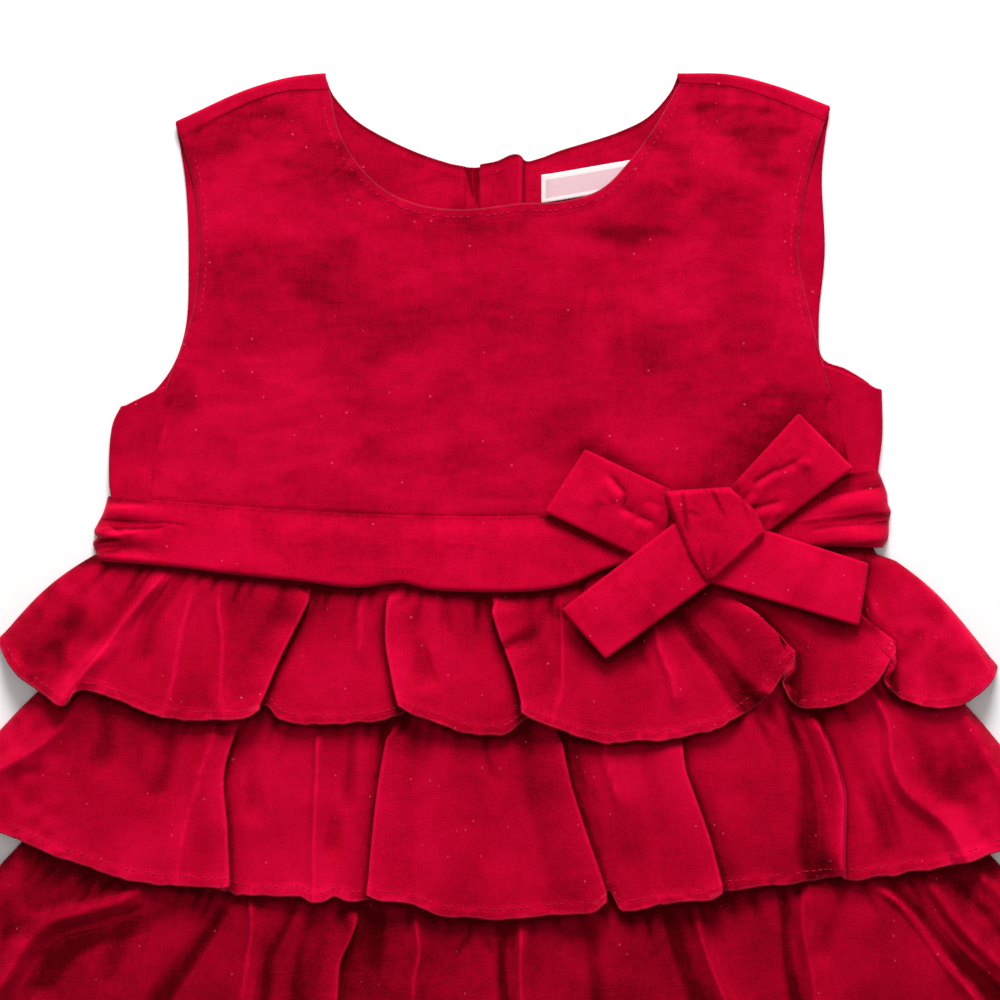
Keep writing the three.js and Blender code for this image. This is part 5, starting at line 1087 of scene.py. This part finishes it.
# Painted highlight and shade along the creases, painted shade in the pleats' hollows, under the loops and along the top
# seam, and on the roll's underside.
shade = creases(SASH_CREASES, x, y) - 0.16 * pleats * (pleats < 0) + 0.5 * beside(LOOP_SHADOW_LINES, x, y, 2.6)
shade = shade + 0.22 * np.exp(-(np.minimum(top - y, 9) / 0.8) ** 2) + 0.12 * rumple(x, y, 22, 93)
sash_front = Cloth().patch(np.dstack([x, y, z]), thread=np.dstack([x, y]), thick=0.7, nap=np.where(v < 0, 0.3, shade))
sash_front = sash_front.piece("sash_front", SASH_SATIN)
u, v = np.meshgrid(np.linspace(0, 1, 120), np.linspace(0, 1, 20))
x = mix(height_at(SASH_LEFT, v), height_at(SASH_RIGHT, v), u)
y = mix(height_at(SASH_LOW, x), height_at(SASH_TOP, x), v)
sash_back = Cloth().patch(np.dstack([x, y, np.full_like(x, FLOOR_PLY)])).piece("sash_back", SASH_SATIN)

# Bow: two loops and two tails of the same double band, laid flat, with a knot folded round the middle
# of them. It is made up and pinned on the sash, at the wearer's left.
BOW_Z = 8.95
Band = namedtuple("Band", "name corners near far")
LOOPS = [
    Band("bow_loop_left", ((58, 41), (62, 68), (17.5, 60.4), (31.7, 82.3)), 10.4, 10.6),
    Band("bow_loop_right", ((96, 53), (84, 69), (126.7, 76.1), (107.7, 95)), 10.4, 11.4),
]
TAILS = [
    Band("bow_tail_left", ((77, 36), (66, 58), (38.2, 8), (22.9, 25.1)), 12.2, 13.2),
    Band("bow_tail_right", ((76.4, 35.3), (95.8, 53.5), (129.2, 20), (132.5, 41.5)), 10.8, 13.4),
]
BAND_THICK = 1.1


# Creases of the loops, which shape them and are painted as a line of painted shade or painted highlight with the other
# beside it: from x, y to x, y, how light.
LOOP_CREASES = [
    ((39.4, 75), (46.2, 66.2), -0.7), ((46.2, 67.4), (43.6, 61.6), -0.7), ((43.4, 63), (50, 59.4), -0.75),
    ((48.6, 60.2), (57, 56.4), -0.6), ((35, 66.6), (40, 63.4), 0.3), ((25, 67), (33, 62), 0.14), ((52, 66), (60, 62), -0.3),
    ((90.5, 70.8), (101.6, 76.8), -0.75), ((99, 75.4), (110, 80), -0.6), ((106, 79.8), (114, 77.4), 0.5),
    ((88.5, 61.2), (102.5, 64.8), -0.65), ((97, 59.4), (105, 62.4), 0.3), ((86.5, 65), (92, 68.8), -0.4),
    ((104, 86), (112, 82), 0.16),
]


def across_corners(corners, u, v):
    near_low, near_high, far_low, far_high = (np.array(c, float) for c in corners)
    u, v = u[..., None], v[..., None]
    return mix(mix(near_low, near_high, v), mix(far_low, far_high, v), u)


for band in LOOPS:
    a, b = np.meshgrid(np.linspace(0, 1, 90), np.linspace(0, 1, 34))
    out = np.where(a < 0.45, a / 0.45, np.where(a > 0.55, (1 - a) / 0.45, 1.0))
    p = across_corners(band.corners, out, b)
    direction = np.array(band.corners[2]) + np.array(band.corners[3]) - np.array(band.corners[0]) - np.array(band.corners[1])
    direction = direction / np.linalg.norm(direction)
    angle = np.pi * (np.clip((a - 0.45) / 0.1, 0, 1) - 0.5)
    p = p + direction * (0.75 * np.cos(angle))[..., None] * ((a >= 0.45) & (a <= 0.55))[..., None]
    top = mix(band.near, band.far, out) + 0.5
    puff = 1.6 * np.sin(np.pi * out) * np.sin(np.pi * b) ** 0.7
    dent = 1.3 * np.exp(-(((out - 0.35) / 0.14) ** 2 + ((b - 0.5) / 0.22) ** 2))
    crease = 0.5 * np.exp(-((b - 0.5 - 0.25 * (out - 0.3)) / 0.09) ** 2) * ease(1 - out / 0.6)
    wave = 0.25 * rumple(p[..., 0], p[..., 1], 9, 95)
    upper = top + puff - dent - crease + wave - 0.7 * creases(LOOP_CREASES, p[..., 0], p[..., 1], 1.3)
    lower = np.full_like(a, BOW_Z + 0.1)
    z = mix(lower, upper, ease((a - 0.45) / 0.1))
    left = band.name.endswith("left")
    places = np.dstack([p, z])[:, ::1 if left else -1]
    thread = np.dstack([a * 110, b * 24])[:, ::1 if left else -1]
    # Painted shade along the creases with a lighter side, and painted shade near the knot.
    shade = 0.7 * creases(LOOP_CREASES, p[..., 0], p[..., 1], 0.8) + 0.12 * rumple(p[..., 0], p[..., 1], 10, 97)
    shade = shade + 0.3 * ease(1 - out / 0.16)
    shade = shade[:, ::1 if left else -1]
    Cloth().patch(places, thread=thread, thick=BAND_THICK, nap=shade).piece(band.name, SASH_SATIN)
for band in TAILS:
    a, b = np.meshgrid(np.linspace(0, 1, 70), np.linspace(0, 1, 34))
    p = across_corners(band.corners, a, b)
    z = mix(band.near, band.far, ease(a)) + 0.5 * np.sin(np.pi * b) + 0.35 * rumple(p[..., 0], p[..., 1], 12, 96)
    left = band.name.endswith("left")
    places = np.dstack([p, z])[:, ::-1 if left else 1]
    thread = np.dstack([a * 60, b * 24])[:, ::-1 if left else 1]
    # Painted shade near the knot; the right tail is a little lighter than the left.
    shade = 0.1 * rumple(p[..., 0], p[..., 1], 11, 98) + 0.16 * ease(1 - a / 0.2) - (0.05 if left else 0.14)
    shade = shade[:, ::-1 if left else 1]
    Cloth().patch(places, thread=thread, thick=1.3, nap=shade).piece(band.name, SASH_SATIN)
KNOT_LEFT = [(74.3, 35.0), (69.0, 43.5), (64.9, 53.5), (62.0, 61.0), (59.7, 67.7)]
KNOT_RIGHT = [(76.0, 35.4), (87.0, 45.0), (95.5, 53.2), (92.0, 61.0), (83.0, 69.2)]
# Creases of the knot, which dent it and are painted as shade: from x, y to x, y, how deep.
KNOT_CREASES = [((74.8, 36), (71.5, 52), 0.5), ((76, 37), (79, 50), 0.4), ((66, 66), (68, 50), 0.9),
                ((77, 67), (82.6, 55), 0.75), ((87.5, 65), (90, 54), 0.6), ((69, 60), (76, 57), 0.4)]


def corner_path(rows):
    """Points by their share of the length along straight lines between the rows."""
    rows = np.array(rows, float)
    run = np.append(0, np.cumsum(np.linalg.norm(np.diff(rows, axis=0), axis=1)))
    return lambda share: np.stack([np.interp(share * run[-1], run, rows[:, k]) for k in range(2)], axis=-1)


a, b = np.meshgrid(np.linspace(0, 1, 70), np.linspace(0, 1, 60))
p = mix(corner_path(KNOT_LEFT)(b), corner_path(KNOT_RIGHT)(b), a[..., None])
width = np.linalg.norm(corner_path(KNOT_RIGHT)(b) - corner_path(KNOT_LEFT)(b), axis=-1)
from_side = np.minimum(a, 1 - a) * width
arch = np.sqrt(1 - (1 - np.clip(from_side / 1.6, 0, 1)) ** 2) * np.sqrt(1 - (1 - np.clip(np.minimum(b, 1 - b) / 0.05, 0, 1)) ** 2)
dip = np.zeros_like(a)
for (x0, y0), (x1, y1), depth in KNOT_CREASES:
    length = np.hypot(x1 - x0, y1 - y0)
    along = ((p[..., 0] - x0) * (x1 - x0) + (p[..., 1] - y0) * (y1 - y0)) / length
    away = ((p[..., 0] - x0) * (y1 - y0) - (p[..., 1] - y0) * (x1 - x0)) / length
    dip += depth * np.exp(-(away / 0.9) ** 2) * ease(along / 2 + 1) * ease((length - along) / 8)
z = mix(11.6, 14.4 + 0.5 * np.sin(np.pi * b) - 0.9 * dip, arch)
places = np.dstack([p, z])
thread = np.dstack([a * 26, b * 34])
# Painted shade in its creases and on its left part.
knot = Cloth().patch(places, thread=thread, thick=0.8, nap=0.4 * dip + 0.1 * rumple(p[..., 0], p[..., 1], 8, 99) + 0.12 * ease((0.3 - a) / 0.3))
knot.piece("bow_knot", SASH_SATIN)

# Topstitching: a row of short stitches of crimson thread round the neckline and the armholes, and
# along each hem. They are sewn through the cloth, a little above it.
thread_colour = brushed_satin("crimson_thread", (0.36, 0.001, 0.02), (0.5, 0.003, 0.035), (0.62, 0.008, 0.05), 0.4)
STITCH = namedtuple("Stitch", "length pitch width height")(1.5, 2.5, 0.36, 0.22)


def stitch_row(line, lift):
    """Corner points and faces of stitches along a line of points that lie on the middle of the cloth."""
    run = np.append(0, np.cumsum(np.linalg.norm(np.diff(line, axis=0), axis=1)))
    starts = np.arange(1.0, run[-1] - STITCH.length, STITCH.pitch)
    loose = np.random.default_rng(len(line))
    starts = starts[loose.random(len(starts)) < 0.72] + loose.uniform(-0.3, 0.3)

    def read(at):
        return np.stack([np.interp(at, run, line[:, k]) for k in range(3)], axis=-1)

    first, last = read(starts), read(starts + STITCH.length)
    way = last - first
    way /= np.linalg.norm(way, axis=1)[:, None] + 1e-9
    side = np.cross(way, (0, 0, 1))
    side /= np.linalg.norm(side, axis=1)[:, None] + 1e-9
    up = np.cross(side, way)
    rings = []
    for share, full in ((0.0, 0.5), (0.5, 1.0), (1.0, 0.5)):
        middle = mix(first, last, share) + up * (lift + STITCH.height * (full - 0.5))
        for right, high in ((-1, -1), (1, -1), (1, 1), (-1, 1)):
            rings.append(middle + side * right * STITCH.width / 2 * full + up * high * STITCH.height / 2 * full)
    points = np.stack(rings, axis=1)
    faces = [(3, 2, 1, 0), (8, 9, 10, 11)]
    for ring in (0, 4):
        for k in range(4):
            faces.append((ring + k, ring + (k + 1) % 4, ring + 4 + (k + 1) % 4, ring + 4 + k))
    numbers = np.arange(len(points))[:, None, None] * 12 + np.array(faces)[None]
    return points.reshape(-1, 3), numbers.reshape(-1, 4)


def settled(line, places):
    """Puts a flat line of points at the height of the cloth below it."""
    grid = places.reshape(-1, 3)
    heights = []
    for point in line:
        gap = np.linalg.norm(grid[:, :2] - point, axis=1)
        near = np.argpartition(gap, 5)[:5]
        heights.append(np.average(grid[near, 2], weights=1 / (gap[near] + 0.05)))
    return np.column_stack([line, heights])


def inside_line(edge, distance, first, last):
    """A line beside an outline, to the right of its way for a distance more than 0."""
    share = np.linspace(first, last, 90)
    points = edge(share)
    way = edge(share + 0.004) - edge(share - 0.004)
    way /= np.linalg.norm(way, axis=1)[:, None]
    return points + distance * np.column_stack([way[:, 1], -way[:, 0]])


rows = [stitch_row(settled(inside_line(neck_edge, 2.9, 0.03, 0.97), front), 0.36),
        stitch_row(settled(inside_line(left_edge, 2.9, 0.56, 0.97), front), 0.36),
        stitch_row(settled(inside_line(right_edge, -2.9, 0.5, 0.97), front), 0.36)]
rows += [stitch_row(places[HEM_STITCH_ROW, 6:-6], 0.42) for made, places in lines_to_stitch]
count, points, faces = 0, [], []
for row_points, row_faces in rows:
    points.append(row_points)
    faces.append(row_faces + count)
    count += len(row_points)
points, faces = np.vstack(points), np.vstack(faces)
mesh = bpy.data.meshes.new("topstitching")
mesh.from_pydata((points * MM).tolist(), [], faces.tolist())
flat = np.column_stack([points[:, :2] * MM, np.zeros(len(points))])
mesh.attributes.new("thread", "FLOAT_VECTOR", "POINT").data.foreach_set("vector", flat.astype(np.float32).ravel())
mesh.materials.append(thread_colour)
topstitching = bpy.data.objects.new("topstitching", mesh)
bpy.context.collection.objects.link(topstitching)
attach(topstitching, "root")
print(f"topstitching: {len(faces) * 2} triangles")
